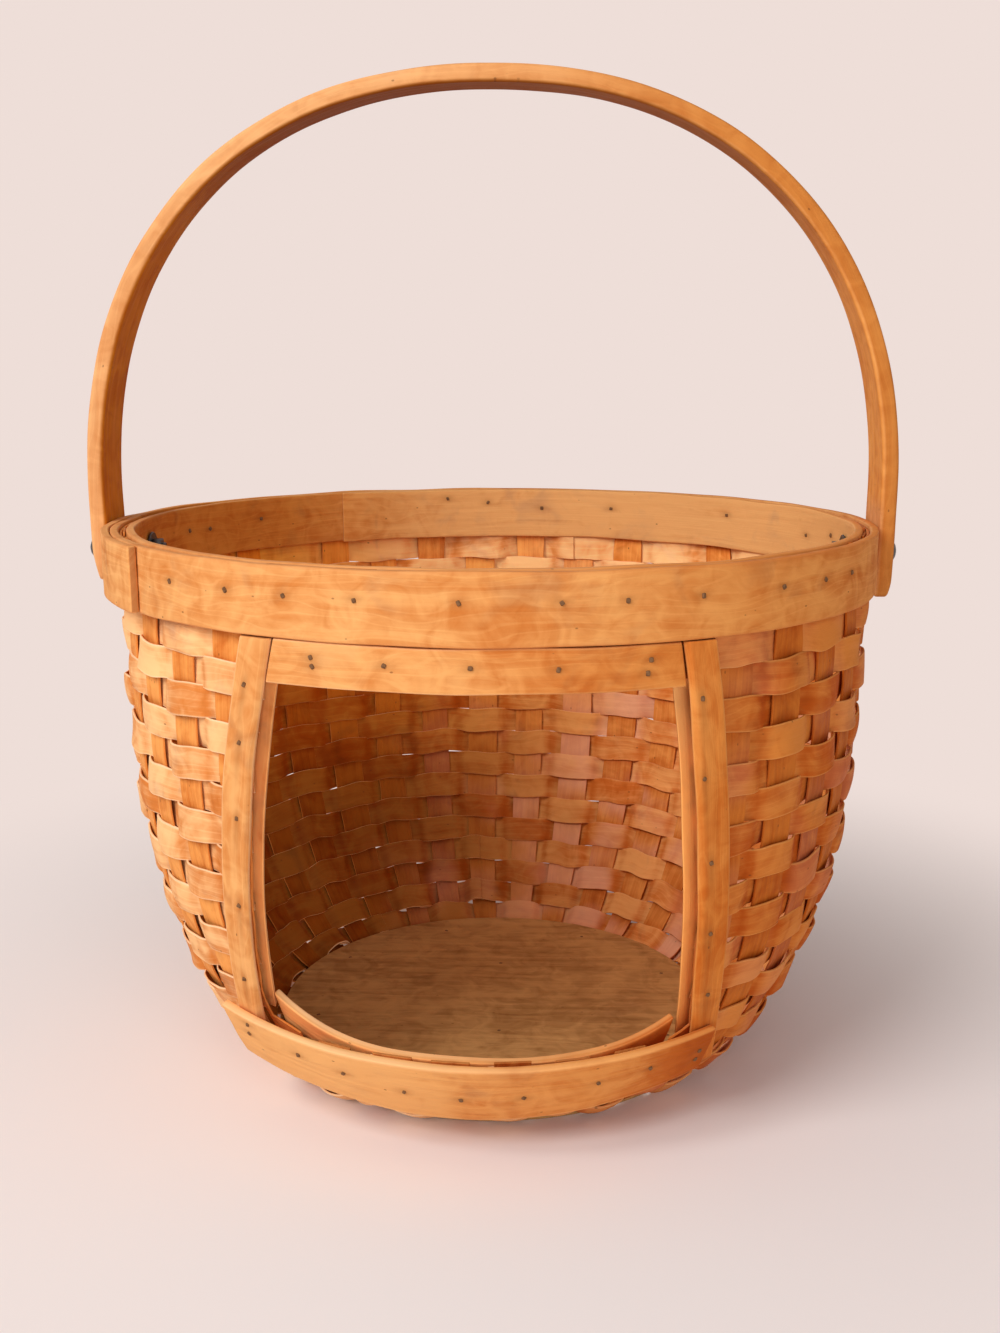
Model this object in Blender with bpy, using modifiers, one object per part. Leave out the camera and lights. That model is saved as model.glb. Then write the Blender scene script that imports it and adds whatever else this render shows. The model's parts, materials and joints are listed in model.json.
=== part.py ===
"""A round splint basket with a framed window in its front and a bentwood swing handle.

Flat upright stakes start from a star-shaped web between two floor discs, bend up and out,
and end between two rim bands. Flat weavers go round them, one over and one under. Eight
strips of wood frame the window, and the handle turns on a bolt at each side of the rim.

Metres, +Z up. The origin is the centre of the base, and the window faces -Y. A bearing is
an angle about Z that starts at the window and grows towards +X.
"""

import math

import bmesh
import bpy
from mathutils import Matrix, Vector

# Sizes of the whole basket
RIM_RADIUS = 0.2120
RIM_HEIGHT = 0.3020
BASE_RADIUS = 0.1320
GAP = 0.0003
HIDDEN_OVERLAP = 0.0020

# Rim: an outer band, a filler, the stakes and an inner band, from outside to inside
RIM_BAND_HEIGHT = 0.0330
RIM_BAND_THICKNESS = 0.0045
FILLER_THICKNESS = 0.0014
LAP_END = math.radians(307)
LAP_LENGTH = math.radians(44)
LAP_RAMP = math.radians(26)
INNER_LAP_END = math.radians(214)
INNER_LAP_LENGTH = math.radians(16)
BAND_STEP = math.radians(7.5)

# Weave
STAKE_COUNT = 36
STAKE_WIDTH = 0.0200
STAKE_SHARE = 0.62
SPLINT_THICKNESS = 0.0012
ROW_GAP = 0.0007
KNOT_ROWS = (0, 2, 4, 6, 8, 11, 14, 18)
WALL_RISE_POWER = 3.0
WALL_FLARE_POWER = 1.32
WALL_STRAIGHT_HEIGHT = 0.257
WALL_STEPS = 400
WEAVER_FLAT_MARGIN = 0.0005

# Floor
FLOOR_DISC_THICKNESS = 0.0035
LOWER_DISC_RADIUS = 0.1305
UPPER_DISC_RADIUS = 0.1280
WEB_CENTRE_RADIUS = 0.0900
WEB_CENTRE_THICKNESS = 0.0016
DISC_SIDES = 48

# Window
ROWS_BELOW_WINDOW = 4
ROWS_ABOVE_WINDOW = 1
CUT_STAKE_PAST_KNOT = 0.15
KNOT_MARGIN = 0.0020
WINDOW_STAKES = (33, 34, 35, 0, 1, 2)
POST_STAKES = {3: 1, 32: -1}
POST_WIDTH = 0.0180
OUTER_POST_THICKNESS = 0.0050
INNER_POST_THICKNESS = 0.0034
POST_HALF_SPANS = {-1: (0.1005, 0.1185), 1: (0.0985, 0.1100)}
POST_SPREAD_DEPTH = 0.1600
INNER_POST_INSETS = {-1: 0.0050, 1: 0.0060}
FRAME_CLEARANCE = 0.0009
OUTER_POST_FOOT = 0.0400
LEFT_INNER_POST_FOOT = 0.0680
RIGHT_INNER_POST_FOOT = 0.0400
SHOULDER_BOTTOM = 0.0580
SHOULDER_TOP = 0.0640
LEAST_STAKE = 0.0025
HEAD_STRIP_BOTTOM = 0.2480
HEAD_STRIP_THICKNESS = 0.0034
HEAD_STRIP_CLEARANCE = 0.0018
HEAD_STRIP_STEPS = 8
SILL_STEPS = 3
SILL_LEFT_END = math.radians(-44)
SILL_RIGHT_END = math.radians(36.9)
SILL_BOTTOM = 0.0240
SILL_TOP = 0.0606
SILL_TOP_RISE = 0.0065
SILL_LEFT_TAPER = 0.0150
SILL_RIGHT_TAPER = 0.0172
SILL_TAPER_POWER = 1.6
SILL_THICKNESS = 0.0040
SILL_CLEARANCE = 0.0011
INNER_SILL_LEFT_END = math.radians(-36.3)
INNER_SILL_RIGHT_END = math.radians(32.6)
INNER_SILL_BOTTOM = 0.0270
INNER_SILL_TOP = 0.0543
INNER_SILL_RISE = 0.0165
INNER_SILL_RISE_BEARING = math.radians(33)

# Handle
HANDLE_WIDTH = 0.0380
HANDLE_THICKNESS = 0.0090
HANDLE_HALF_SPAN = 0.2200
HANDLE_CENTRE_X = -0.0023
HANDLE_LEAN = math.radians(4)
PIVOT_BELOW_RIM = 0.0170
ARCH_START = 0.0255
ARCH_RISE = 0.2258
ARCH_POWER = 2.24
ARCH_STEPS = 28
HANDLE_EDGE = 0.0018
LEFT_LEG_BELOW_PIVOT = 0.0155
RIGHT_LEG_BELOW_PIVOT = 0.0235
BOLT_RADIUS = 0.0030
BOLT_CLEARANCE = 0.0003
BOLT_HEAD_RADIUS = 0.0080
BOLT_HEAD_HEIGHTS = {-1: 0.0065, 1: 0.0050}
WASHER_RADIUS = 0.0090
WASHER_THICKNESS = 0.0012
NUT_RADIUS = 0.0058
NUT_HEIGHT = 0.0048
BOLT_END_PAST_NUT = 0.0020
BOLT_SIDES = 12
DRILL_LENGTH = 2.6 * RIM_RADIUS

# Square cut nails
NAIL_SIDE = 0.0024
NAIL_PROUD = 0.0005
RIM_NAIL_DROP = 0.0135
RIM_NAIL_BEARINGS = (-44, -33, -24, -14.5, -2, 10, 18, 28, 41, 50, 58, 131, 158, 185, 234)

# Colours, as linear red, green and blue, with roughness and metallic value
FINISHES = {
    "rim_wood": ((0.72, 0.36, 0.13), 0.55, 0.0),
    "handle_wood": ((0.60, 0.23, 0.065), 0.50, 0.0),
    "weaver_wood": ((0.62, 0.23, 0.065), 0.58, 0.0),
    "stake_wood": ((0.50, 0.19, 0.085), 0.60, 0.0),
    "floor_wood": ((0.30, 0.11, 0.045), 0.65, 0.0),
    "bolt_steel": ((0.09, 0.09, 0.095), 0.45, 0.9),
    "nail_steel": ((0.13, 0.11, 0.09), 0.60, 0.8),
}

PIVOT_HEIGHT = RIM_HEIGHT - PIVOT_BELOW_RIM
RIM_BOTTOM = RIM_HEIGHT - RIM_BAND_HEIGHT
OUTER_BAND_MID = RIM_RADIUS - RIM_BAND_THICKNESS / 2
LAP_MID = OUTER_BAND_MID + RIM_BAND_THICKNESS + GAP
FILLER_OUTSIDE = RIM_RADIUS - RIM_BAND_THICKNESS - GAP
STAKE_TOP_RADIUS = FILLER_OUTSIDE - FILLER_THICKNESS - 2.5 * GAP - SPLINT_THICKNESS / 2
INNER_BAND_MID = STAKE_TOP_RADIUS - SPLINT_THICKNESS / 2 - GAP - RIM_BAND_THICKNESS / 2
WEAVER_OFFSET = SPLINT_THICKNESS + GAP
WEAVE_FACE = WEAVER_OFFSET + SPLINT_THICKNESS / 2
FOOT_HEIGHT = FLOOR_DISC_THICKNESS + GAP + WEB_CENTRE_THICKNESS / 2
STAKE_PITCH = 2 * math.pi / STAKE_COUNT
ROW_COUNT = KNOT_ROWS[-1]
TOP_OF_FRAME = RIM_BOTTOM - 2 * GAP


def clear_scene():
    for old in list(bpy.data.objects):
        bpy.data.objects.remove(old, do_unlink=True)


def collection(name):
    made = bpy.data.collections.new(name)
    bpy.context.scene.collection.children.link(made)
    return made


def finish_named(name):
    known = bpy.data.materials.get(name)
    if known:
        return known
    colour, roughness, metallic = FINISHES[name]
    made = bpy.data.materials.new(name)
    made.use_nodes = True
    shader = made.node_tree.nodes["Principled BSDF"]
    shader.inputs["Base Color"].default_value = (*colour, 1.0)
    shader.inputs["Roughness"].default_value = roughness
    shader.inputs["Metallic"].default_value = metallic
    return made


def place(name, bm, finish, smooth_angle=math.radians(30)):
    """Turns a bmesh into a named object in the basket's collection."""
    mesh = bpy.data.meshes.new(name)
    bm.to_mesh(mesh)
    bm.free()
    mesh.shade_smooth()
    mesh.set_sharp_from_angle(angle=smooth_angle)
    made = bpy.data.objects.new(name, mesh)
    made.data.materials.append(finish_named(finish))
    BASKET.objects.link(made)
    return made


def thicken(piece, thickness, offset=0.0):
    shell = piece.modifiers.new("Thickness", "SOLIDIFY")
    shell.thickness = thickness
    shell.offset = offset
    shell.use_even_offset = True
    return piece


def round_edges(piece, width, segments=1):
    bevel = piece.modifiers.new("Edges", "BEVEL")
    bevel.width = width
    bevel.segments = segments
    bevel.limit_method = "ANGLE"
    bevel.angle_limit = math.radians(50)
    return piece


def cut_with(piece, cutter):
    cut = piece.modifiers.new("Cut", "BOOLEAN")
    cut.operation = "DIFFERENCE"
    cut.object = cutter
    return piece


def at(radius, bearing, height):
    return Vector((radius * math.sin(bearing), -radius * math.cos(bearing), height))


def tangent(bearing):
    return Vector((math.cos(bearing), math.sin(bearing), 0.0))


def pairs_along(verts, closed):
    ends = verts[1:] + verts[:1] if closed else verts[1:]
    return list(zip(verts, ends))


def add_sheet(bm, rows, closed=False):
    """Extrudes the first row of points on to the second, then to the third and so on."""
    verts = [bm.verts.new(point) for point in rows[0]]
    edges = [bm.edges.new(pair) for pair in pairs_along(verts, closed)]
    for row in rows[1:]:
        place_in_row = {vert: i for i, vert in enumerate(verts)}
        grown = bmesh.ops.extrude_edge_only(bm, edges=edges)["geom"]
        for vert in [part for part in grown if isinstance(part, bmesh.types.BMVert)]:
            starts = [edge.other_vert(vert) for edge in vert.link_edges]
            i = next(place_in_row[start] for start in starts if start in place_in_row)
            vert.co = row[i]
            verts[i] = vert
        edges = [bm.edges.get(pair) for pair in pairs_along(verts, closed)]


def wall_radius(height):
    """Radius of the middle of the wall, a superellipse from the base to the rim."""
    rise = min(height / WALL_STRAIGHT_HEIGHT, 1.0)
    flare = (1.0 - (1.0 - rise) ** WALL_RISE_POWER) ** (1.0 / WALL_FLARE_POWER)
    return BASE_RADIUS + (STAKE_TOP_RADIUS - BASE_RADIUS) * flare


def wall_knots():
    """Points (radius, height) on the wall at the rows in KNOT_ROWS, evenly spaced along the slope."""
    rise = (RIM_BOTTOM - FOOT_HEIGHT) / WALL_STEPS
    points = []
    for i in range(WALL_STEPS + 1):
        points.append(Vector((wall_radius(rise * i), FOOT_HEIGHT + rise * i)))
    lengths = [0.0]
    for before, after in zip(points, points[1:]):
        lengths.append(lengths[-1] + (after - before).length)
    knots = []
    for row in KNOT_ROWS:
        wanted = lengths[-1] * row / ROW_COUNT
        nearest = min(range(len(lengths)), key=lambda i: abs(lengths[i] - wanted))
        knots.append(points[nearest])
    return knots


def outward(low, high):
    run = (high - low).normalized()
    return Vector((run.y, -run.x))


def offset_wall(distance):
    """The wall's outline moved outwards by a distance, with mitred knots."""
    normals = [outward(a, b) for a, b in zip(KNOTS, KNOTS[1:])]
    befores = normals[:1] + normals
    afters = normals + normals[-1:]
    moved = []
    for knot, before, after in zip(KNOTS, befores, afters):
        moved.append(knot + (before + after) * (distance / (1.0 + before.dot(after))))
    return moved


def outline_between(distance, low, high):
    """The offset outline from one height to another, with its knots in between."""
    line = offset_wall(distance)
    inside = [point for point in line if low + KNOT_MARGIN < point.y < high - KNOT_MARGIN]
    return [outline_at(line, low), *inside, outline_at(line, high)]


def outline_at(line, height):
    for a, b in zip(line, line[1:]):
        if height <= b.y:
            break
    return a.lerp(b, (height - a.y) / (b.y - a.y))


def stake_half_width(radius):
    return min(STAKE_WIDTH, STAKE_SHARE * radius * STAKE_PITCH) / 2


def stake_bearing(index):
    return (index + 0.5) * STAKE_PITCH


def post_half_span(side, height):
    """Sideways distance of a post's centre line: it spreads over the top, then hangs straight."""
    top, low = POST_HALF_SPANS[side]
    share = min(max((TOP_OF_FRAME - height) / POST_SPREAD_DEPTH, 0.0), 1.0)
    return top + (low - top) * share * (2.0 - share)


def post_inner_edge(side, point, margin):
    """Bearing of the edge of a post that faces the window, moved behind the post by a margin."""
    middle = math.asin(post_half_span(side, point.y) / point.x)
    return middle - math.atan2(POST_WIDTH / 2 - margin, point.x)


def row_edge(row, share_of_row):
    """The outline point and outward normal at the bottom (0) or top (1) of a row."""
    segment = next(i for i, last in enumerate(KNOT_ROWS[1:]) if row < last)
    low, high = KNOTS[segment], KNOTS[segment + 1]
    rows_here = KNOT_ROWS[segment + 1] - KNOT_ROWS[segment]
    inset = ROW_GAP / 2 / (high - low).length
    share = (row - KNOT_ROWS[segment] + share_of_row) / rows_here
    share += inset if share_of_row == 0 else -inset
    return low.lerp(high, share), outward(low, high)


def weaver_path(row, share_of_row):
    """Points of one edge of a row: flat over each stake, on its outside and inside in turn."""
    point, normal = row_edge(row, share_of_row)
    half_flat = stake_half_width(point.x) + WEAVER_FLAT_MARGIN
    path = []
    for index in range(STAKE_COUNT):
        side = 1 if (index + row) % 2 == 0 else -1
        moved = point + normal * (side * WEAVER_OFFSET)
        bearing = stake_bearing(index)
        middle = at(moved.x, bearing, moved.y)
        path.append(middle - tangent(bearing) * half_flat)
        path.append(middle + tangent(bearing) * half_flat)
    return path


def is_open_row(row):
    return ROWS_BELOW_WINDOW <= row < ROW_COUNT - ROWS_ABOVE_WINDOW


def bearing_of(point):
    return math.atan2(point.x, -point.y) % (2 * math.pi)


def cut_at(path, low, high):
    """The part of a round path between two bearings, with a new point at each cut."""
    kept = [p for p in path if low < bearing_of(p) < high]
    first = path.index(kept[0])
    last = path.index(kept[-1])
    return [
        crossing(path[first - 1], kept[0], low),
        *kept,
        crossing(kept[-1], path[(last + 1) % len(path)], high),
    ]


def crossing(a, b, bearing):
    """Where the line from a to b meets the upright plane at a bearing."""
    side = tangent(bearing)
    share = a.dot(side) / (a.dot(side) - b.dot(side))
    return a.lerp(b, share)


def make_weaver_row(row):
    lower = weaver_path(row, 0)
    upper = weaver_path(row, 1)
    if is_open_row(row):
        point, _ = row_edge(row, 0.5)
        low = post_inner_edge(1, point, HIDDEN_OVERLAP)
        high = 2 * math.pi - post_inner_edge(-1, point, HIDDEN_OVERLAP)
        lower = cut_at(lower, low, high)
        upper = cut_at(upper, low, high)
    bm = bmesh.new()
    add_sheet(bm, [lower, upper], closed=not is_open_row(row))
    thicken(place(f"weaver_row_{row + 1:02d}", bm, "weaver_wood"), SPLINT_THICKNESS)


def stake_edges(index, point):
    """Sideways reach of a stake to both sides. Two of them are trimmed to stay behind the posts."""
    half = stake_half_width(point.x)
    if index not in POST_STAKES or point.y < SHOULDER_TOP - GAP:
        return -half, half
    side = POST_STAKES[index]
    bearing = side * math.sin(stake_bearing(index))
    past = post_inner_edge(side, point, GAP) - math.asin(bearing)
    inner = min(max(point.x * math.tan(past), -half), half - LEAST_STAKE)
    return (inner, half) if side == 1 else (-half, -inner)


def add_stake(bm, index, line):
    bearing = stake_bearing(index)
    left = []
    right = []
    for point in line:
        middle = at(point.x, bearing, point.y)
        low, high = stake_edges(index, point)
        left.append(middle + tangent(bearing) * low)
        right.append(middle + tangent(bearing) * high)
    add_sheet(bm, [left, right])


def make_stakes(name, indexes, line):
    bm = bmesh.new()
    for index in indexes:
        add_stake(bm, index, line)
    return thicken(place(name, bm, "stake_wood"), SPLINT_THICKNESS)


def make_stake_web():
    """All the stakes as one star: their feet run in under the floor to a common centre."""
    inner_end = Vector((WEB_CENTRE_RADIUS - HIDDEN_OVERLAP, FOOT_HEIGHT))
    top = Vector((STAKE_TOP_RADIUS, RIM_HEIGHT - 2 * GAP))
    window_knot = ROWS_BELOW_WINDOW // 2
    cut_end = KNOTS[window_knot].lerp(KNOTS[window_knot + 1], CUT_STAKE_PAST_KNOT)
    shoulder = [outline_at(KNOTS, height) for height in (SHOULDER_BOTTOM, SHOULDER_TOP)]
    below = [knot for knot in KNOTS if knot.y < SHOULDER_BOTTOM]
    above = [knot for knot in KNOTS if knot.y > SHOULDER_TOP]
    special = (*WINDOW_STAKES, *POST_STAKES)
    whole = [index for index in range(STAKE_COUNT) if index not in special]
    arms = [
        make_stakes("whole_stakes", whole, [inner_end, *KNOTS, top]),
        make_stakes("post_stakes", POST_STAKES, [inner_end, *below, *shoulder, *above, top]),
        make_stakes("cut_stakes", WINDOW_STAKES, [inner_end, *KNOTS[: window_knot + 1], cut_end]),
    ]
    web = make_disc("stake_web", WEB_CENTRE_RADIUS, WEB_CENTRE_THICKNESS, FOOT_HEIGHT, "stake_wood")
    for arm in arms:
        join = web.modifiers.new("Join", "BOOLEAN")
        join.operation = "UNION"
        join.object = as_cutter(arm)


def make_stake_ends():
    """The short upper ends of the stakes that the window cuts off, still held by the rim."""
    start = outline_at(KNOTS, HEAD_STRIP_BOTTOM + HIDDEN_OVERLAP)
    top = Vector((STAKE_TOP_RADIUS, RIM_HEIGHT - 2 * GAP))
    for number, index in enumerate(WINDOW_STAKES, start=1):
        make_stakes(f"window_stake_end_{number}", [index], [start, KNOTS[-1], top])


def make_disc(name, radius, thickness, middle, finish):
    bm = bmesh.new()
    bmesh.ops.create_cone(
        bm,
        cap_ends=True,
        segments=DISC_SIDES,
        radius1=radius,
        radius2=radius,
        depth=thickness,
        matrix=Matrix.Translation((0, 0, middle)),
    )
    return place(name, bm, finish)


def bearings_between(start, end):
    count = math.ceil((end - start) / BAND_STEP)
    return [start + (end - start) * i / count for i in range(count + 1)]


def make_bent_band(name, middle_radius, start, end, thickness):
    """A flat band on edge, bent round the rim from one bearing to another."""
    bearings = bearings_between(start, end)
    low = [at(middle_radius(b), b, RIM_BOTTOM) for b in bearings]
    high = [at(middle_radius(b), b, RIM_HEIGHT) for b in bearings]
    bm = bmesh.new()
    add_sheet(bm, [low, high])
    return thicken(place(name, bm, "rim_wood"), thickness)


def ease(share):
    share = min(max(share, 0.0), 1.0)
    return share * share * (3.0 - 2.0 * share)


def make_outer_band():
    """The outer band's last stretch climbs over its own start and lies on top of it."""
    start = LAP_END - LAP_LENGTH
    turn = start + 2 * math.pi

    def middle_radius(bearing):
        climbed = ease((bearing - turn + LAP_RAMP) / LAP_RAMP)
        return OUTER_BAND_MID + (LAP_MID - OUTER_BAND_MID) * climbed

    return make_bent_band("outer_rim_band", middle_radius, start, turn + LAP_LENGTH, RIM_BAND_THICKNESS)


def make_inner_band():
    """The inner band laps inwards over its own start, at the back."""
    start = INNER_LAP_END - INNER_LAP_LENGTH
    turn = start + 2 * math.pi
    lap_shift = RIM_BAND_THICKNESS + GAP

    def middle_radius(bearing):
        climbed = ease((bearing - turn + LAP_RAMP) / LAP_RAMP)
        return INNER_BAND_MID - lap_shift * climbed

    return make_bent_band("inner_rim_band", middle_radius, start, turn + INNER_LAP_LENGTH, RIM_BAND_THICKNESS)


def make_filler():
    """The thin ring that fills the rim between the outer band and the stakes' ends."""
    top = RIM_HEIGHT - 2 * GAP
    bottom = RIM_BOTTOM + 2 * GAP
    inside = FILLER_OUTSIDE - FILLER_THICKNESS
    profile = [(FILLER_OUTSIDE, top), (FILLER_OUTSIDE, bottom), (inside, bottom), (inside, top)]
    bm = bmesh.new()
    verts = [bm.verts.new((radius, 0, height)) for radius, height in profile]
    for pair in pairs_along(verts, closed=True):
        bm.edges.new(pair)
    ring = place("rim_filler", bm, "stake_wood")
    screw = ring.modifiers.new("Turn", "SCREW")
    screw.axis = "Z"
    screw.steps = round(2 * math.pi / BAND_STEP)
    screw.render_steps = screw.steps
    screw.merge_threshold = 0.0001
    return ring


def make_wall_strip(name, start, end, outline, thickness):
    """A strip of wood bent along the wall. The outline is from low to high, at each bearing."""
    bearings = bearings_between(start, end)
    lines = [outline(bearing) for bearing in bearings]
    rows = [[at(p.x, b, p.y) for p, b in zip(row, bearings)] for row in zip(*lines)]
    bm = bmesh.new()
    add_sheet(bm, rows)
    return thicken(place(name, bm, "rim_wood"), thickness)


def outer_sill_edges(bearing):
    """Heights of the outer sill's edges: both rise towards its ends, the lower one more."""
    end, taper = SILL_RIGHT_END, SILL_RIGHT_TAPER
    if bearing < 0:
        end, taper = SILL_LEFT_END, SILL_LEFT_TAPER
    low = SILL_BOTTOM + taper * (bearing / end) ** SILL_TAPER_POWER
    return low, SILL_TOP + SILL_TOP_RISE * (bearing / SILL_RIGHT_END) ** 2


def inner_sill_edges(bearing):
    """Heights of the inner sill's edges: it is a straight strip, so its ends ride up the flaring wall."""
    rise = INNER_SILL_RISE * (bearing / INNER_SILL_RISE_BEARING) ** 4
    return INNER_SILL_BOTTOM + rise, INNER_SILL_TOP + rise


def sill_outline(distance, bearing, edges):
    """The same number of points at each bearing, whichever of the wall's knots lie between."""
    low, high = edges(bearing)
    line = offset_wall(distance)
    return [outline_at(line, low + (high - low) * i / SILL_STEPS) for i in range(SILL_STEPS + 1)]


def make_head(name, distance, insets):
    """The strip across the top of the window. Its ends follow the posts' edges."""
    rows = []
    for point in outline_between(distance, HEAD_STRIP_BOTTOM, TOP_OF_FRAME):
        left = -post_inner_edge(-1, point, -HEAD_STRIP_CLEARANCE - insets[-1])
        right = post_inner_edge(1, point, -HEAD_STRIP_CLEARANCE - insets[1])
        bearings = [left + (right - left) * i / HEAD_STRIP_STEPS for i in range(HEAD_STRIP_STEPS + 1)]
        rows.append([at(point.x, bearing, point.y) for bearing in bearings])
    bm = bmesh.new()
    add_sheet(bm, rows)
    thicken(place(name, bm, "rim_wood"), HEAD_STRIP_THICKNESS)


def make_post(name, side, distance, foot, thickness, inset):
    """An upright of the window, bent along the wall's outline and set into the window a little."""
    left = []
    right = []
    for point in outline_between(distance, foot, TOP_OF_FRAME):
        bearing = side * math.asin((post_half_span(side, point.y) - inset) / point.x)
        middle = at(point.x, bearing, point.y)
        half = tangent(bearing) * (POST_WIDTH / 2)
        left.append(middle - half)
        right.append(middle + half)
    bm = bmesh.new()
    add_sheet(bm, [left, right])
    return thicken(place(name, bm, "rim_wood"), thickness)


def make_handle():
    """A flat bent hoop. Its origin is the middle of the pivot axis, about which it leans."""
    arch = []
    for i in range(ARCH_STEPS + 1):
        angle = math.pi * i / ARCH_STEPS
        across = math.copysign(abs(math.cos(angle)) ** (2 / ARCH_POWER), math.cos(angle))
        up = math.sin(angle) ** (2 / ARCH_POWER)
        arch.append((HANDLE_HALF_SPAN * across, ARCH_START + ARCH_RISE * up))
    right_end = (HANDLE_HALF_SPAN, -RIGHT_LEG_BELOW_PIVOT)
    left_end = (-HANDLE_HALF_SPAN, -LEFT_LEG_BELOW_PIVOT)
    outline = [right_end, *arch, left_end]
    half = HANDLE_WIDTH / 2
    bm = bmesh.new()
    add_sheet(bm, [[(x, y, z) for x, z in outline] for y in (-half, half)])
    hoop = thicken(place("handle_hoop", bm, "handle_wood"), HANDLE_THICKNESS)
    round_edges(hoop, HANDLE_EDGE)
    hoop.location = (HANDLE_CENTRE_X, 0, PIVOT_HEIGHT)
    hoop.rotation_euler.x = HANDLE_LEAN
    return hoop


def along_x(side, distance):
    """Stands a shape made on +Z at the pivot, pointing outwards to one side."""
    turn = Matrix.Rotation(side * math.pi / 2, 4, "Y")
    return Matrix.Translation((side * distance, 0, PIVOT_HEIGHT)) @ turn


def handle_outside(side):
    return HANDLE_HALF_SPAN + HANDLE_THICKNESS / 2 + side * HANDLE_CENTRE_X


def washer_seat():
    """Distance from the middle to the washers, which clear the hollow side of the faceted inner band."""
    inside = INNER_BAND_MID - RIM_BAND_THICKNESS / 2
    facet_depth = inside * (1.0 - math.cos(BAND_STEP / 2))
    curve_depth = inside - math.sqrt(inside**2 - WASHER_RADIUS**2)
    return inside - facet_depth - curve_depth - GAP


def spin_profile(bm, profile, steps):
    """Turns a profile of (radius, height) points about Z. Both ends lie on the axis."""
    verts = [bm.verts.new((radius, 0, height)) for radius, height in profile]
    edges = [bm.edges.new(pair) for pair in zip(verts, verts[1:])]
    bmesh.ops.spin(
        bm,
        geom=verts + edges,
        cent=(0, 0, 0),
        axis=(0, 0, 1),
        angle=2 * math.pi,
        steps=steps,
        use_merge=True,
    )
    bmesh.ops.remove_doubles(bm, verts=bm.verts, dist=0.00001)
    bmesh.ops.recalc_face_normals(bm, faces=bm.faces)


def make_bolt(name, side):
    """A dome-headed bolt through the handle and the rim, with its head outside."""
    inside_end = washer_seat() - WASHER_THICKNESS - GAP - NUT_HEIGHT - BOLT_END_PAST_NUT
    head_under = handle_outside(side) + GAP
    head_height = BOLT_HEAD_HEIGHTS[side]
    head_top = head_under + head_height
    profile = [
        (0, head_top),
        (BOLT_HEAD_RADIUS * 0.55, head_top - head_height * 0.15),
        (BOLT_HEAD_RADIUS * 0.9, head_top - head_height * 0.5),
        (BOLT_HEAD_RADIUS, head_under),
        (BOLT_RADIUS, head_under),
        (BOLT_RADIUS, inside_end),
        (0, inside_end),
    ]
    bm = bmesh.new()
    spin_profile(bm, profile, BOLT_SIDES)
    bmesh.ops.transform(bm, matrix=along_x(side, 0), verts=bm.verts)
    return place(name, bm, "bolt_steel")


def make_bored_disc(name, side, outside_radius, sides, thickness, distance):
    """A washer, or a nut where it has six sides, on the bolt. Its outer face is at a distance in X."""
    bm = bmesh.new()
    bmesh.ops.create_circle(bm, segments=BOLT_SIDES, radius=BOLT_RADIUS + BOLT_CLEARANCE)
    grown = bmesh.ops.extrude_edge_only(bm, edges=bm.edges[:])["geom"]
    for vert in [part for part in grown if isinstance(part, bmesh.types.BMVert)]:
        vert.co = out_to_polygon(vert.co, outside_radius, sides)
    lifted = bmesh.ops.extrude_face_region(bm, geom=bm.faces[:], use_keep_orig=True)["geom"]
    moved = [part for part in lifted if isinstance(part, bmesh.types.BMVert)]
    bmesh.ops.translate(bm, vec=(0, 0, thickness), verts=moved)
    bmesh.ops.recalc_face_normals(bm, faces=bm.faces)
    bmesh.ops.transform(bm, matrix=along_x(side, distance - thickness), verts=bm.verts)
    return place(name, bm, "bolt_steel")


def out_to_polygon(point, radius, sides):
    """Moves a point outwards onto a regular polygon with a corner at +X."""
    sector = 2 * math.pi / sides
    angle = math.atan2(point.y, point.x)
    from_middle = (angle % sector) - sector / 2
    reach = radius * math.cos(sector / 2) / math.cos(from_middle)
    return Vector((reach * math.cos(angle), reach * math.sin(angle), 0))


def make_bolt_drill():
    """One long rod along the pivot axis, which bores every piece that the bolts go through."""
    bm = bmesh.new()
    bmesh.ops.create_cone(
        bm,
        cap_ends=True,
        segments=BOLT_SIDES,
        radius1=BOLT_RADIUS + BOLT_CLEARANCE,
        radius2=BOLT_RADIUS + BOLT_CLEARANCE,
        depth=DRILL_LENGTH,
        matrix=along_x(1, 0),
    )
    return as_cutter(place("bolt_drill", bm, "bolt_steel"))


def as_cutter(piece):
    BASKET.objects.unlink(piece)
    CUTTERS.objects.link(piece)
    piece.hide_render = True
    piece.display_type = "WIRE"
    return piece


def add_square_rod(bm, centre, direction, side, length):
    """A square nail's shank along a direction, with its middle at a point."""
    turn = direction.to_track_quat("Z", "X").to_matrix().to_4x4()
    size = Matrix.Diagonal((side, side, length, 1.0))
    bmesh.ops.create_cube(bm, size=1.0, matrix=Matrix.Translation(centre) @ turn @ size)


def make_rim_nails(outer_band):
    """Nails through the outer band, flush with its back, and one drill that bores their holes."""
    length = RIM_BAND_THICKNESS + NAIL_PROUD
    holes = bmesh.new()
    for number, degrees in enumerate(RIM_NAIL_BEARINGS, start=1):
        bearing = math.radians(degrees)
        out = at(1, bearing, 0)
        centre = at(RIM_RADIUS + NAIL_PROUD - length / 2, bearing, RIM_HEIGHT - RIM_NAIL_DROP)
        nail = bmesh.new()
        add_square_rod(nail, centre, out, NAIL_SIDE, length)
        place(f"rim_nail_{number:02d}", nail, "nail_steel")
        add_square_rod(holes, centre, out, NAIL_SIDE + 2 * GAP, 2 * length)
    cut_with(outer_band, as_cutter(place("nail_drill", holes, "nail_steel")))


def make_rim():
    outer = make_outer_band()
    filler = make_filler()
    inner = make_inner_band()
    drill = make_bolt_drill()
    for piece in (outer, filler, inner, make_handle()):
        cut_with(piece, drill)
    make_rim_nails(outer)


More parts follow.
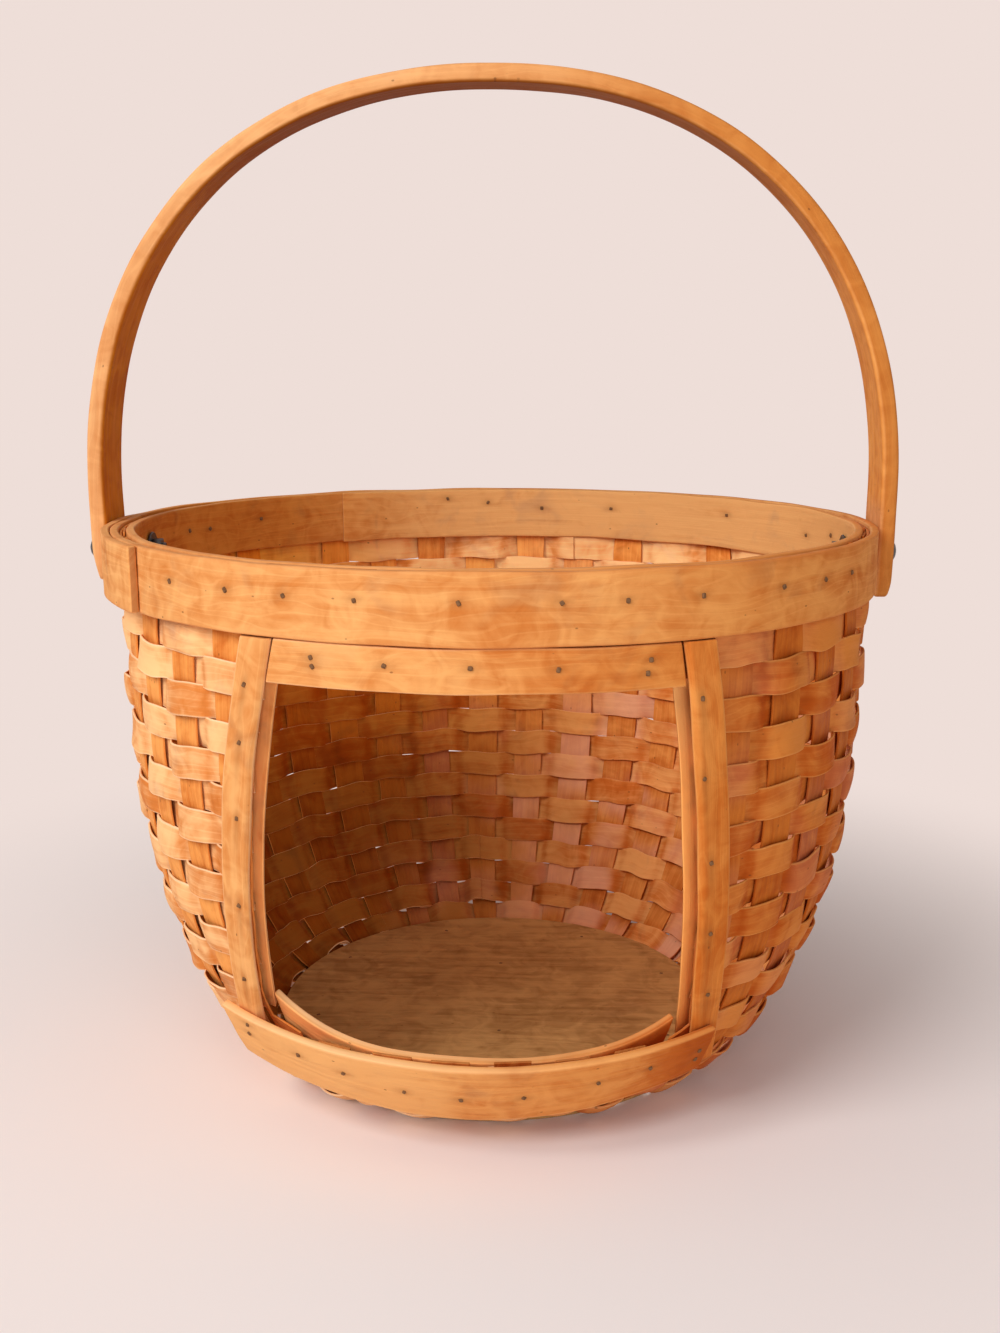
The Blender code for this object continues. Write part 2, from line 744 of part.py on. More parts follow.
def make_pivots():
    washer_face = washer_seat()
    nut_face = washer_face - WASHER_THICKNESS - GAP
    for side, word in ((-1, "left"), (1, "right")):
        make_bolt(f"{word}_pivot_bolt", side)
        make_bored_disc(
            f"{word}_pivot_washer", side, WASHER_RADIUS, BOLT_SIDES, WASHER_THICKNESS, washer_face
        )
        make_bored_disc(f"{word}_pivot_nut", side, NUT_RADIUS, 6, NUT_HEIGHT, nut_face)


def make_window():
    frame_face = WEAVE_FACE + FRAME_CLEARANCE
    outer_post = frame_face + OUTER_POST_THICKNESS / 2
    inner_post = frame_face + INNER_POST_THICKNESS / 2
    head = frame_face + HEAD_STRIP_THICKNESS / 2
    inner_sill = frame_face + SILL_THICKNESS / 2
    outer_sill = frame_face + OUTER_POST_THICKNESS + SILL_CLEARANCE + SILL_THICKNESS / 2
    for side, word, inner_foot in (
        (-1, "left", LEFT_INNER_POST_FOOT),
        (1, "right", RIGHT_INNER_POST_FOOT),
    ):
        make_post(
            f"outer_window_post_{word}", side, outer_post, OUTER_POST_FOOT, OUTER_POST_THICKNESS, 0
        )
        make_post(
            f"inner_window_post_{word}",
            side,
            -inner_post,
            inner_foot,
            INNER_POST_THICKNESS,
            INNER_POST_INSETS[side],
        )
    make_head("outer_window_head", head, {-1: 0, 1: 0})
    make_head("inner_window_head", -head, INNER_POST_INSETS)
    make_wall_strip(
        "outer_window_sill",
        SILL_LEFT_END,
        SILL_RIGHT_END,
        lambda bearing: sill_outline(outer_sill, bearing, outer_sill_edges),
        SILL_THICKNESS,
    )
    make_wall_strip(
        "inner_window_sill",
        INNER_SILL_LEFT_END,
        INNER_SILL_RIGHT_END,
        lambda bearing: sill_outline(-inner_sill, bearing, inner_sill_edges),
        SILL_THICKNESS,
    )


def make_floor():
    half = FLOOR_DISC_THICKNESS / 2
    make_disc("lower_floor_disc", LOWER_DISC_RADIUS, FLOOR_DISC_THICKNESS, half, "floor_wood")
    upper = FOOT_HEIGHT + WEB_CENTRE_THICKNESS / 2 + GAP + half
    make_disc("upper_floor_disc", UPPER_DISC_RADIUS, FLOOR_DISC_THICKNESS, upper, "floor_wood")


clear_scene()
BASKET = collection("woven_basket")
CUTTERS = collection("cutters")
KNOTS = wall_knots()

make_floor()
make_stake_web()
make_stake_ends()
for weaver_row in range(ROW_COUNT):
    make_weaver_row(weaver_row)
make_window()
make_rim()
make_pivots()
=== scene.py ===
"""A woven splint basket with a framed window and a swing handle, finished for looks.

Each strip is a board: cut flat at its real size, its edges rounded, and then bent to its place,
as the real ones were. Metres, +Z up. The window faces -Y. A bearing is an angle about Z that
starts at the window and grows towards +X.
"""

import bisect
import json
import math
import random

import bmesh
import bpy
from bpy.props import FloatProperty, FloatVectorProperty, IntProperty, PointerProperty
from mathutils import Matrix, Vector, noise

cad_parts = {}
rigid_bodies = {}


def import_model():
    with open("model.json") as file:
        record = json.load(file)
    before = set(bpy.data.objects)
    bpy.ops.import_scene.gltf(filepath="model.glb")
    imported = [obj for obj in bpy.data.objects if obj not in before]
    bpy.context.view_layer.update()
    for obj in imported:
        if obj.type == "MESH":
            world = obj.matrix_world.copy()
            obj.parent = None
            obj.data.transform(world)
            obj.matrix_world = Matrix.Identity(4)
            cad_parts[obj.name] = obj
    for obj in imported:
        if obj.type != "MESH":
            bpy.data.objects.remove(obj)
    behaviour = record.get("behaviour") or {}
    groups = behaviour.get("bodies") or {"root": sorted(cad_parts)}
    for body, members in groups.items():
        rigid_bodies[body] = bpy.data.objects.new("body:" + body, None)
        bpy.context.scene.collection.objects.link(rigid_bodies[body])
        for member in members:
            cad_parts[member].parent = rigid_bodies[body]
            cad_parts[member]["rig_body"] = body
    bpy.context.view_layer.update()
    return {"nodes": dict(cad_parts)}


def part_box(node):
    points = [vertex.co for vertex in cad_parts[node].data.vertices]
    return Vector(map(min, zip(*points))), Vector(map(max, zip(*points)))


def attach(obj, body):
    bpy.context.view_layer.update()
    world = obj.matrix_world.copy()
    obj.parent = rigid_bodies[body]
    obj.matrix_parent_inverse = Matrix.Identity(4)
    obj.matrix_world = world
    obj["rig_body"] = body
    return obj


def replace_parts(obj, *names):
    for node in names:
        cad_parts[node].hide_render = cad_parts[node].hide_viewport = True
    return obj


bl_info = {
    "name": "Woven basket",
    "version": (1, 0, 0),
    "blender": (4, 5, 0),
    "location": "3D View > Sidebar > Basket",
    "description": "Makes a woven splint basket with a framed window and a swing handle",
    "category": "Object",
}

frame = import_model()

# Wall
STAKE_COUNT = 36
PITCH = 2 * math.pi / STAKE_COUNT
ROW_COUNT = 18
ROWS_BELOW_WINDOW = 4
RIM_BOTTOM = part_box("outer_rim_band")[0].z
RIM_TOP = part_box("outer_rim_band")[1].z
FOOT_HEIGHT = 0.0046
FOOT_INSIDE = 0.0900
BASE_RADIUS = 0.1320
WALL_TOP_RADIUS = 0.20445
WALL_RISE_POWER = 3.0
WALL_FLARE_POWER = 1.32
WALL_STRAIGHT_HEIGHT = 0.257
WALL_STEPS = 600

# Rim, by the radius of the middle of each band
OUTER_BAND = 0.20975
OUTER_LAP = 0.21455
FILLER = 0.2065
INNER_BAND = 0.2013
INNER_LAP = 0.1965
OUTER_START = math.radians(263)
OUTER_LAP_LENGTH = math.radians(44)
INNER_START = math.radians(198)
INNER_LAP_LENGTH = math.radians(16)
LAP_RAMP = math.radians(26)
BAND_THICKNESS = 0.0045
BAND_TIP_LENGTH = 0.0160
BAND_TIP_THICKNESS = 0.25
FILLER_ENDS = (math.radians(60), math.radians(418))
FILLER_THICKNESS = 0.0013
FILLER_BOTTOM_GAP = 0.0003
FILLER_SHORTFALL = 0.0020
FILLER_WAVE = 0.0009
FILLER_STEPS = (420, 4)

# Window. An inner strip's nailed face looks inwards
FLIP = {"outer": 1, "inner": -1}
SIDES = {"left": -1, "right": 1}
WINDOW_STAKES = (33, 34, 35, 0, 1, 2)
POST_STAKES = {3: 1, 32: -1}
POST_WIDTH = 0.0180
POST_THICKNESS = {"outer": 0.0050, "inner": 0.0034}
POST_OFFSET = {"outer": 0.0055, "inner": -0.0047}
POST_TOP = 0.2684
POST_HALF_SPANS = {-1: (0.1005, 0.1185), 1: (0.0985, 0.1100)}
POST_SPREAD_DEPTH = 0.1600
POST_CHAMFER = 0.0038
POST_CHAMFER_SLOPE = 0.6
POST_INSETS = {"outer": {-1: 0.0, 1: 0.0}, "inner": {-1: 0.0050, 1: 0.0060}}
# Painted shade darkens the right outer post by its tone, and painted light pales the inner posts
POST_TONES = {"outer": {-1: -0.1, 1: 0.5}, "inner": {-1: -0.6, 1: -1.4}}
POST_FEET = {"outer_left": 0.040, "outer_right": 0.040, "inner_left": 0.068, "inner_right": 0.040}
SHOULDER_BOTTOM = 0.0580
SHOULDER_TOP = 0.0640
STAKE_TRIM_GAP = 0.0003
LEAST_STAKE = 0.0025
FREE_BESIDE = 0.0140
FREE_BELOW = 0.0080
HEAD_BOTTOM = 0.2480
HEAD_THICKNESS = 0.0034
HEAD_OFFSET = {"outer": 0.0047, "inner": -0.0047}
HEAD_GAP = 0.0006
SILL_THICKNESS = 0.0040
SILL_OFFSETS = {"outer": 0.0111, "inner": -0.0050}
SILL_ENDS = {"outer": (-44.0, 36.9), "inner": (-36.3, 32.6)}
SILL_BOTTOM = 0.0240
SILL_TOP = 0.0606
SILL_TOP_RISE = 0.0065
SILL_TAPERS = (0.0150, 0.0172)
SILL_TAPER_POWER = 1.6
INNER_SILL_EDGES = (0.0270, 0.0543)
INNER_SILL_RISE = 0.0165
INNER_SILL_RISE_BEARING = math.radians(33)
WEAVE_HIDDEN = 0.0020

# Handle
HOOP_WIDTH = 0.0380
HOOP_THICKNESS = 0.0090
HOOP_HALF_SPAN = 0.2200
HOOP_CENTRE_X = -0.0023
HOOP_LEAN = math.radians(4)
ARCH_STEPS = 240
HOOP_STEP = 0.0030
HOOP_WAVER = 0.0006
HOOP_WAVER_RAMP = 0.0800
RIGHT_ROUNDING = 0.0120
LEFT_ROUNDING = 0.0100
LEFT_PARING = 0.0160
PIVOT_HEIGHT = 0.2850
ARCH_START = 0.0255
ARCH_RISE = 0.2258
ARCH_POWER = 2.24
RIGHT_LEG_END = -0.0235
LEFT_LEG_END = -0.0155

# Bolts, washers and nuts
HEAD_CLEARANCE = 0.0002
HEAD_RADIUS = 0.0080
DOME_SHARES = (0.25, 0.5, 0.75, 0.92, 1.0)
DOME_CUT = 0.92
DOME_RISE = 1.45
SHANK_RADIUS = 0.0030
WASHER_BORE = 0.0033
WASHER_RADIUS = 0.0090
NUT_RADIUS = 0.0058
HEAD_CHAMFER = 0.0002
SHANK_CHAMFER = 0.0004
WASHER_CHAMFER = 0.0003
NUT_CHAMFER = 0.0005
NUT_WALL = 0.0018
SPIN_STEPS = 40
DISC_SEGMENTS = 128

# Nails of the rim, head and sill by bearing in degrees and height, of the posts by sideways place in
# millimetres and height, of the inner sill by bearing and share of its width, and of the floor by
# bearing and radius
OUTER_LAP_NAILS = ((297.2, 0.287), (304.4, 0.2875), (305.6, 0.279), (283.0, 0.289))
INNER_BAND_NAILS = (
    (-149.2, 0.293), (-168.0, 0.296), (-176.4, 0.293), (172.6, 0.289), (158.2, 0.290),
    (-107.0, 0.288), (-113.4, 0.287), (-127.2, 0.289), (132.0, 0.291), (109.0, 0.286),
    (99.0, 0.290), (64.0, 0.289), (38.0, 0.291), (12.0, 0.288), (-16.0, 0.290), (-40.0, 0.287),
    (-66.0, 0.291),
)
HEAD_NAILS = (
    (-20.9, 0.2615), (-20.5, 0.2575), (-11.2, 0.260), (-0.7, 0.260), (9.8, 0.259),
    (20.9, 0.2555), (21.5, 0.2615),
)
POST_NAILS = {
    "left": ((107.3, 0.246), (111.0, 0.218), (114.4, 0.180), (116.2, 0.134), (118.8, 0.090)),
    "right": ((99.9, 0.242), (102.0, 0.204), (107.2, 0.162), (108.8, 0.124), (109.9, 0.088)),
}
INNER_POST_LEAST_NAIL = 0.08
SILL_NAILS = (
    (-38.7, 0.065), (-39.5, 0.056), (-29.3, 0.054), (-21.6, 0.049), (-11.9, 0.043),
    (-3.1, 0.040), (6.6, 0.042), (18.0, 0.048), (26.3, 0.052), (35.0, 0.055), (35.0, 0.049),
)
INNER_SILL_NAILS = ((-32, 0.6), (-19, 0.5), (-5, 0.55), (9, 0.5), (20, 0.55), (29, 0.7))
SILL_NAIL_MARGIN = 0.15
FLOOR_NAILS = (
    (20, 0.110), (65, 0.112), (-28, 0.111), (-75, 0.108), (110, 0.111), (150, 0.110),
    (-120, 0.112), (-160, 0.109), (5, 0.045), (178, 0.050),
)
NAIL_SIDE = 0.0022
NAIL_PROUD = 0.0005
NAIL_DEPTH = 0.0020
NAIL_EDGE = 0.00035
FLOOR_NAIL_SIDE = 0.0020
FLOOR_NAIL_PROUD = 0.0003
DENT_DEPTH = 0.0004
DENT_RADIUS = 0.0035
STAIN_REACH = 0.0050
POST_STAIN_REACH = 0.0180
STAIN_HALF_WIDTH = 0.0019
NAIL_REACH = 0.03
INNER_POST_NAIL_SPREAD = 0.4

# How far one crossing of a weaver and a stake differs from the next, and one stake from the next
CROSSING_SPREAD = {
    "bulge": (0.0006, 0.0026),
    "lean": (-0.3, 0.3),
    "tilt": (-0.15, 0.15),
    "shift": (-0.0004, 0.0004),
    "zigzag": (-0.0007, 0.0010),
    "curl": (-0.0014, 0.0009),
    "width": (-0.03, 0.05),
    "tone": (-1.2, 1.3),
    "blush": (-0.9, 1.3),
}
STAKE_SPREAD = {
    "twist": (-0.012, 0.012),
    "drift": (-0.0013, 0.0013),
    "width": (0.90, 1.08),
    "tone": (-0.7, 0.7),
    "blush": (-0.4, 1.0),
}

# Weave. A whole row laps at one of these stakes, this share of a pitch past it to both sides. Its waves
# are (size, radius of its ring in the noise, height of the ring there, and its climb with each row)
LAP_STAKES = (12, 26)
LAP_REACH = 0.9
LAP_GAP = 0.0001
FLAT_MARGIN = 0.02
INSIDE_BOW = 0.45
ROW_WAVE = 0.0024
ROW_WAVES = ((1.0, 2.2, 0.0, 0.10), (0.7, 7.0, 9.0, 0.13))
LEAST_WIDTH = 0.965
STAKE_CROWDING = 0.62
SPLINT_WAVER = 0.0003
STAKE_SHORTFALL = 0.0006
STAKE_TOP_SPREAD = 0.0016
CUT_STAKE_ROWS = 0.3
STAKE_END_RISE = 0.0020
STEPS_PER_STAKE = 14
STAKE_STEP = 0.0033

# Boards. Lanes keep the strips of one board apart while they are flat
LANE = 0.1
STRIP_STEP = 0.0024
SPLINT_EDGE = 0.00028
FILLER_EDGE = 0.0002
POST_EDGE = 0.0008
BAND_EDGE = 0.0009
DISC_EDGE = 0.0009
HOOP_EDGE = 0.0020
SHARP_ANGLE = 1.0
SMOOTH_ANGLE = math.radians(40)
TINY = 0.00001

# How far the edges and the faces of each kind of strip were left uneven
WHITTLING = {
    "band": (0.0008, 0.0004),
    "post": (0.0009, 0.0005),
    "head": (0.0008, 0.0003),
    "sill": (0.0009, 0.0004),
    "hoop": (0.0005, 0.00035),
}

# Camera, lamps and backdrop
CAMERA_PLACE = (0.0311, -0.8054, 0.3875)
CAMERA_TURN = (math.radians(78), 0.0, math.radians(2))
CAMERA_LENS = 38.19
KEY_LAMP = {"place": (-1.42, -1.60, 1.80), "target": (0, 0, 0.25), "size": 1.5}
FRONT_LAMP = {"place": (0.75, -2.2, 0.80), "target": (0, 0, 0.20), "size": 1.4}
FILL_COLOUR = (1.0, 0.97, 0.94)
BACKDROP_SIZE = 9.0
BACKDROP_FLOOR = 6.2
BACKDROP_BEND = 2.2
BACKDROP_RADIUS = 0.9
BACKDROP_TOP = 3.5
BACKDROP_STEPS = 160
BACKDROP_FADE = (0.16, 0.62)


def linear(red, green, blue):
    """A colour written as 0 to 255 sRGB, as the linear values that Blender uses."""
    made = []
    for part in (red, green, blue):
        part /= 255
        made.append(part / 12.92 if part <= 0.04045 else ((part + 0.055) / 1.055) ** 2.4)
    return tuple(made)


def colour_property(name, description, *parts):
    return FloatVectorProperty(
        name=name,
        description=description,
        default=linear(*parts),
        min=0.0,
        max=1.0,
        size=3,
        subtype="COLOR",
    )


def length_property(name, description, default, least, most):
    return FloatProperty(
        name=name, description=description, default=default, min=least, max=most, unit="LENGTH"
    )


def power_property(name, description, default):
    return FloatProperty(name=name, description=description, default=default, min=0.0, unit="POWER")


class BasketWeave(bpy.types.PropertyGroup):
    """Sizes of the woven strips"""

    splint_thickness: length_property(
        "Splint thickness", "Thickness of the weavers and stakes", 0.0012, 0.0006, 0.0018
    )
    weaver_width: length_property(
        "Weaver width", "Width of the widest weaver", 0.0159, 0.010, 0.0160
    )
    stake_width: length_property(
        "Stake width", "Width of a stake at the rim", 0.0200, 0.012, 0.024
    )
    reach: length_property(
        "Reach", "Distance of a weaver over a stake from the wall's middle", 0.0015, 0.0012, 0.0025
    )
    unevenness: FloatProperty(
        name="Unevenness",
        description="How much the crossings differ from each other",
        default=1.0,
        min=0.0,
        max=1.5,
        subtype="FACTOR",
    )
    seed: IntProperty(name="Seed", description="Picks another set of crossings", default=7)


class BasketColours(bpy.types.PropertyGroup):
    """Colours of the woods and the steel"""

    band_light: colour_property("Band light", "Pale wood of the rim and window", 238, 174, 108)
    band_deep: colour_property("Band deep", "Grain of the rim and window", 206, 122, 56)
    weaver_light: colour_property("Weaver light", "Pale wood of the weavers", 250, 194, 134)
    weaver_deep: colour_property("Weaver deep", "Grain of the weavers", 214, 126, 58)
    stake_light: colour_property("Stake light", "Pale wood of the stakes", 244, 164, 86)
    stake_deep: colour_property("Stake deep", "Grain of the stakes", 204, 110, 42)
    hoop_light: colour_property("Handle light", "Pale wood of the handle", 240, 176, 116)
    hoop_deep: colour_property("Handle deep", "Grain of the handle", 208, 130, 70)
    floor_light: colour_property("Floor light", "Pale wood of the floor", 208, 160, 100)
    floor_deep: colour_property("Floor deep", "Grain of the floor", 154, 108, 60)
    blush: colour_property("Blush", "Pinkish grey patches on the splints", 240, 176, 142)
    steel: colour_property("Steel", "Bolts, washers and nuts", 74, 76, 78)
    nail: colour_property("Nail", "Nail heads", 126, 90, 60)


class BasketStage(bpy.types.PropertyGroup):
    """The floor, backdrop and lamps"""

    floor: colour_property("Floor", "Floor under the basket", 247, 238, 236)
    backdrop: colour_property("Backdrop", "What the camera sees behind the basket", 238, 222, 216)
    key_power: power_property("Key light", "Power of the lamp at the upper left", 49.0)
    front_power: power_property("Front light", "Power of the lamp at the front right", 14.0)
    fill_strength: FloatProperty(
        name="Fill light",
        description="Strength of the even light from all round",
        default=0.32,
        min=0.0,
    )


def ease(share):
    share = min(max(share, 0.0), 1.0)
    return share * share * (3.0 - 2.0 * share)


def at(radius, bearing, height):
    return Vector((radius * math.sin(bearing), -radius * math.cos(bearing), height))


def tangent(bearing):
    return Vector((math.cos(bearing), math.sin(bearing), 0.0))


def ripple(x, y, seed):
    """Smooth noise from about -1 to 1, the same each run."""
    return noise.noise(Vector((x, y, seed)))


def along(x, length, start, end):
    """What has the value start at the -X end of a board and end at the other, at x."""
    return start + (x / length + 0.5) * (end - start)


def x_of(value, length, start, end):
    """Where on a board such a value is found."""
    return ((value - start) / (end - start) - 0.5) * length


def nearness(distance, reach):
    """1 at a place, and 0 from a reach away on."""
    return 1.0 - min(distance / reach, 1.0)


def fading(along_share, across_share):
    """1 at a place, fading out round it like a bell."""
    return math.exp(-(along_share**2) - across_share**2)


class Track:
    """A line through points (outwards, up), read by the distance along it."""

    def __init__(self, points):
        self.points = points
        self.lengths = [0.0]
        for before, after in zip(points, points[1:]):
            self.lengths.append(self.lengths[-1] + (after - before).length)
        self.normals = []
        for before, after in zip([points[0], *points], [*points[1:], points[-1]]):
            run = (after - before).normalized()
            self.normals.append(Vector((run.y, -run.x)))
        self.length = self.lengths[-1]

    def at(self, length):
        """The point and the outward normal there. Past its ends the line runs on straight."""
        i = bisect.bisect_right(self.lengths, length) - 1
        i = min(max(i, 0), len(self.points) - 2)
        share = (length - self.lengths[i]) / (self.lengths[i + 1] - self.lengths[i])
        normal = self.normals[i].lerp(self.normals[i + 1], min(max(share, 0.0), 1.0))
        return self.points[i].lerp(self.points[i + 1], share), normal

    def beside(self, length, offset):
        """The point at an offset outwards from the line there."""
        point, normal = self.at(length)
        return point + normal * offset

    def length_at(self, height, offset=0.0):
        """How far along the line a piece laid on it at an offset has a height."""
        def height_of(i):
            return self.points[i].y + self.normals[i].y * offset

        i = bisect.bisect_left(range(1, len(self.points) - 1), height, key=height_of)
        share = (height - height_of(i)) / (height_of(i + 1) - height_of(i))
        return self.lengths[i] + (self.lengths[i + 1] - self.lengths[i]) * share


def wall_radius(rise):
    """Radius of the middle of the wall, a superellipse from the base to the rim."""
    left = 1.0 - min(rise / WALL_STRAIGHT_HEIGHT, 1.0)
    flare = (1.0 - left**WALL_RISE_POWER) ** (1.0 / WALL_FLARE_POWER)
    return BASE_RADIUS + (WALL_TOP_RADIUS - BASE_RADIUS) * flare


def wall_track():
    points = [Vector((FOOT_INSIDE, FOOT_HEIGHT))]
    step = (RIM_BOTTOM - FOOT_HEIGHT) / WALL_STEPS
    for i in range(WALL_STEPS + 1):
        points.append(Vector((wall_radius(step * i), FOOT_HEIGHT + step * i)))
    points.append(Vector((WALL_TOP_RADIUS, RIM_TOP)))
    return Track(points)


def hoop_track():
    """The middle of the handle, from the end of its right leg over the arch to the left one."""
    points = [Vector((HOOP_HALF_SPAN, RIGHT_LEG_END))]
    for i in range(ARCH_STEPS + 1):
        angle = math.pi * i / ARCH_STEPS
        across = math.copysign(abs(math.cos(angle)) ** (2 / ARCH_POWER), math.cos(angle))
        up = math.sin(angle) ** (2 / ARCH_POWER)
        points.append(Vector((HOOP_HALF_SPAN * across, ARCH_START + ARCH_RISE * up)))
    points.append(Vector((-HOOP_HALF_SPAN, LEFT_LEG_END)))
    return Track(points)


WALL = wall_track()
WALL_START = BASE_RADIUS - FOOT_INSIDE
ROW_HEIGHT = (WALL.length_at(RIM_BOTTOM) - WALL_START) / ROW_COUNT


def round_edges(bm, edges, offset, segments):
    bmesh.ops.bevel(
        bm,
        geom=edges,
        offset=offset,
        offset_type="OFFSET",
        segments=segments,
        profile=0.5,
        affect="EDGES",
        material=-1,
        clamp_overlap=True,
    )


def sharp_edges(bm):
    return [edge for edge in bm.edges if edge.calc_face_angle() > SHARP_ANGLE]


class Board:
    """Flat strips of one size, which are marked with their grain and then bent to their places.

    The strips lie side by side, a lane apart in Y, long in X, with their middles at 0 in Z.
    """

    def __init__(self, length, width, thickness, steps, edge, rounds, lanes=1):
        self.size = Vector((length, width, thickness))
        self.bm = bmesh.new()
        for lane in range(lanes):
            place = Matrix.Translation((0, lane * LANE, -thickness / 2))
            size = Matrix.Diagonal((length, width, 1.0, 1.0))
            bmesh.ops.create_grid(
                self.bm, x_segments=steps[0], y_segments=steps[1], size=0.5, matrix=place @ size
            )
        sheet = self.bm.faces[:]
        grown = bmesh.ops.extrude_face_region(self.bm, geom=sheet, use_keep_orig=True)["geom"]
        lifted = [part for part in grown if isinstance(part, bmesh.types.BMVert)]
        bmesh.ops.translate(self.bm, vec=(0, 0, thickness), verts=lifted)
        bmesh.ops.recalc_face_normals(self.bm, faces=self.bm.faces)
        round_edges(self.bm, sharp_edges(self.bm), edge, rounds)

    def bend(self, place, shade, nails=(), first_lane=0, trail=STAIN_REACH, inward=False):
        """Moves each point to place(x, y, z, lane) and marks it with the tone and blush of shade.

        Nails dent and stain the face at +Z.
        A stain reaches further towards -X by the trail. The face at -Z is marked as the inside, or
        the one at +Z on a board that faces inward.
        """
        grain = self.bm.loops.layers.uv.new("grain")
        marks = {}
        for name in ("edge", "end", "inside", "stain", "tone", "blush"):
            marks[name] = self.bm.verts.layers.float.new(name)
        for face in self.bm.faces:
            for loop in face.loops:
                flat = loop.vert.co
                loop[grain].uv = (flat.x, flat.y + flat.z + first_lane * LANE)
        for vert in self.bm.verts:
            x, y, z = vert.co
            lane = round(y / LANE)
            y -= lane * LANE
            vert[marks["edge"]] = abs(y) / (self.size.y / 2)
            vert[marks["end"]] = float(abs(x) > self.size.x / 2 - TINY)
            vert[marks["inside"]] = 0.5 + (z if inward else -z) / self.size.z
            dent = 0.0
            for nail_x, nail_y in nails:
                past, beside = x - nail_x, y - nail_y
                if abs(past) < NAIL_REACH:
                    dent += fading(past / DENT_RADIUS, beside / DENT_RADIUS)
                    reach = trail if past < 0 else STAIN_REACH
                    vert[marks["stain"]] += fading(past / reach, beside / STAIN_HALF_WIDTH)
            vert[marks["tone"]], vert[marks["blush"]] = shade(x, lane)
            if z > 0:
                z -= DENT_DEPTH * min(dent, 1.0)
            vert.co = place(x, y, z, lane)


def strip_board(length, width, thickness, rows, edge):
    """A board for one of the thicker strips."""
    return Board(length, width, thickness, (round(length / STRIP_STEP), rows), edge, rounds=3)


def new_object(name, data):
    made = bpy.data.objects.new(name, data)
    bpy.context.scene.collection.objects.link(made)
    return made


def new_bmesh_piece(name, bm, look, node=None):
    """Turns a bmesh into a finished piece, which rides on the body of its CAD node."""
    mesh = bpy.data.meshes.new(name)
    bm.to_mesh(mesh)
    bm.free()
    mesh.shade_smooth()
    mesh.set_sharp_from_angle(angle=SMOOTH_ANGLE)
    piece = new_object(name, mesh)
    slot, make_finish = LOOKS[look]
    finish_name = f"{look}_finish"
    mesh.materials.append(bpy.data.materials.get(finish_name) or make_finish(finish_name))
    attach(piece, frame["nodes"][node]["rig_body"] if node else "basket")
    if node:
        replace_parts(piece, node)
    return piece


def new_strip(name, node, look, board, place, shade, nails=(), **bending):
    """Bends a board into a piece for a CAD node, and returns the spots of its nails."""
    board.bend(place, shade, nails, **bending)
    bmesh.ops.recalc_face_normals(board.bm, faces=board.bm.faces)
    spots = [on_face(place, board, x, y) for x, y in nails]
    new_bmesh_piece(name, board.bm, look, node)
    return spots


def whittled(place, board, seed, kind):
    """The same place, for a board whose edges and faces were left a little uneven."""
    edge_wave, face_wave = WHITTLING[kind]

    def moved(x, y, z, lane):
        side = y / (board.size.y / 2)
        y += edge_wave * side * ripple(x * 22, 3.0 + math.copysign(1.0, side), seed)
        z += face_wave * ripple(x * 28, y * 70, seed + math.copysign(7.0, z))
        return place(x, y, z, lane)

    return moved


def nail_heads(name, spots, side=NAIL_SIDE, proud=NAIL_PROUD):
    """Square nail heads, each a little turned, at spots (point, direction outwards)."""
    rng = random.Random(len(spots))
    bm = bmesh.new()
    for point, out in spots:
        turn = out.to_track_quat("Z", "X").to_matrix().to_4x4()
        twist = Matrix.Rotation(rng.uniform(-0.6, 0.6), 4, "Z")
        lean = Matrix.Rotation(rng.uniform(-0.12, 0.12), 4, "X")
        long, short = side * rng.uniform(0.85, 1.2), side * rng.uniform(0.75, 1.0)
        size = Matrix.Diagonal((long, short, NAIL_DEPTH, 1))
        lift = Matrix.Translation(point + out * (proud - NAIL_DEPTH / 2))
        bmesh.ops.create_cube(bm, size=1.0, matrix=lift @ turn @ twist @ lean @ size)
    round_edges(bm, bm.edges[:], NAIL_EDGE, 1)
    return new_bmesh_piece(name, bm, "nail_steel")


def on_face(place, board, x, y):
    """Where a nail stands on the +Z face of a bent board, and which way it points."""
    top = board.size.z / 2
    point = place(x, y, top, 0)
    return point, (place(x, y, top + 0.001, 0) - point).normalized()


def post_half_span(side, height):
    """Sideways distance of a post's middle: the posts spread from their tops, then hang straight."""
    share = min(max((POST_TOP - height) / POST_SPREAD_DEPTH, 0.0), 1.0)
    top, low = POST_HALF_SPANS[side]
    return top + (low - top) * share * (2.0 - share)


def post_inner_edge(side, point, margin):
    """Bearing of the edge of a post that faces the window, moved behind the post by a margin."""
    middle = math.asin(post_half_span(side, point.y) / point.x)
    return middle - math.atan2(POST_WIDTH / 2 - margin, point.x)


def outer_sill_edges(bearing):
    """Heights of the outer sill's edges: both rise towards its ends, the lower one more."""
    side = 0 if bearing < 0 else 1
    share = bearing / math.radians(SILL_ENDS["outer"][side])
    low = SILL_BOTTOM + SILL_TAPERS[side] * share**SILL_TAPER_POWER
    return low, SILL_TOP + SILL_TOP_RISE * (bearing / math.radians(SILL_ENDS["outer"][1])) ** 2


def inner_sill_edges(bearing):
    """Heights of the inner sill's edges: a straight strip, whose ends ride up the flaring wall."""
    rise = INNER_SILL_RISE * (bearing / INNER_SILL_RISE_BEARING) ** 4
    return tuple(edge + rise for edge in INNER_SILL_EDGES)


SILL_EDGES = {"outer": outer_sill_edges, "inner": inner_sill_edges}


def freedom(bearing, point):
    """From 0 for splints that the window's frame clamps to 1 for those that are free to bulge."""
    if math.cos(bearing) <= 0:
        return 1.0
    side = 1 if math.sin(bearing) > 0 else -1
    beside = abs(point.x * math.sin(bearing)) - post_half_span(side, point.y) - POST_WIDTH / 2
    front = math.atan2(math.sin(bearing), math.cos(bearing))
    below = outer_sill_edges(front)[0] - point.y
    return max(ease(beside / FREE_BESIDE), ease(below / FREE_BELOW))


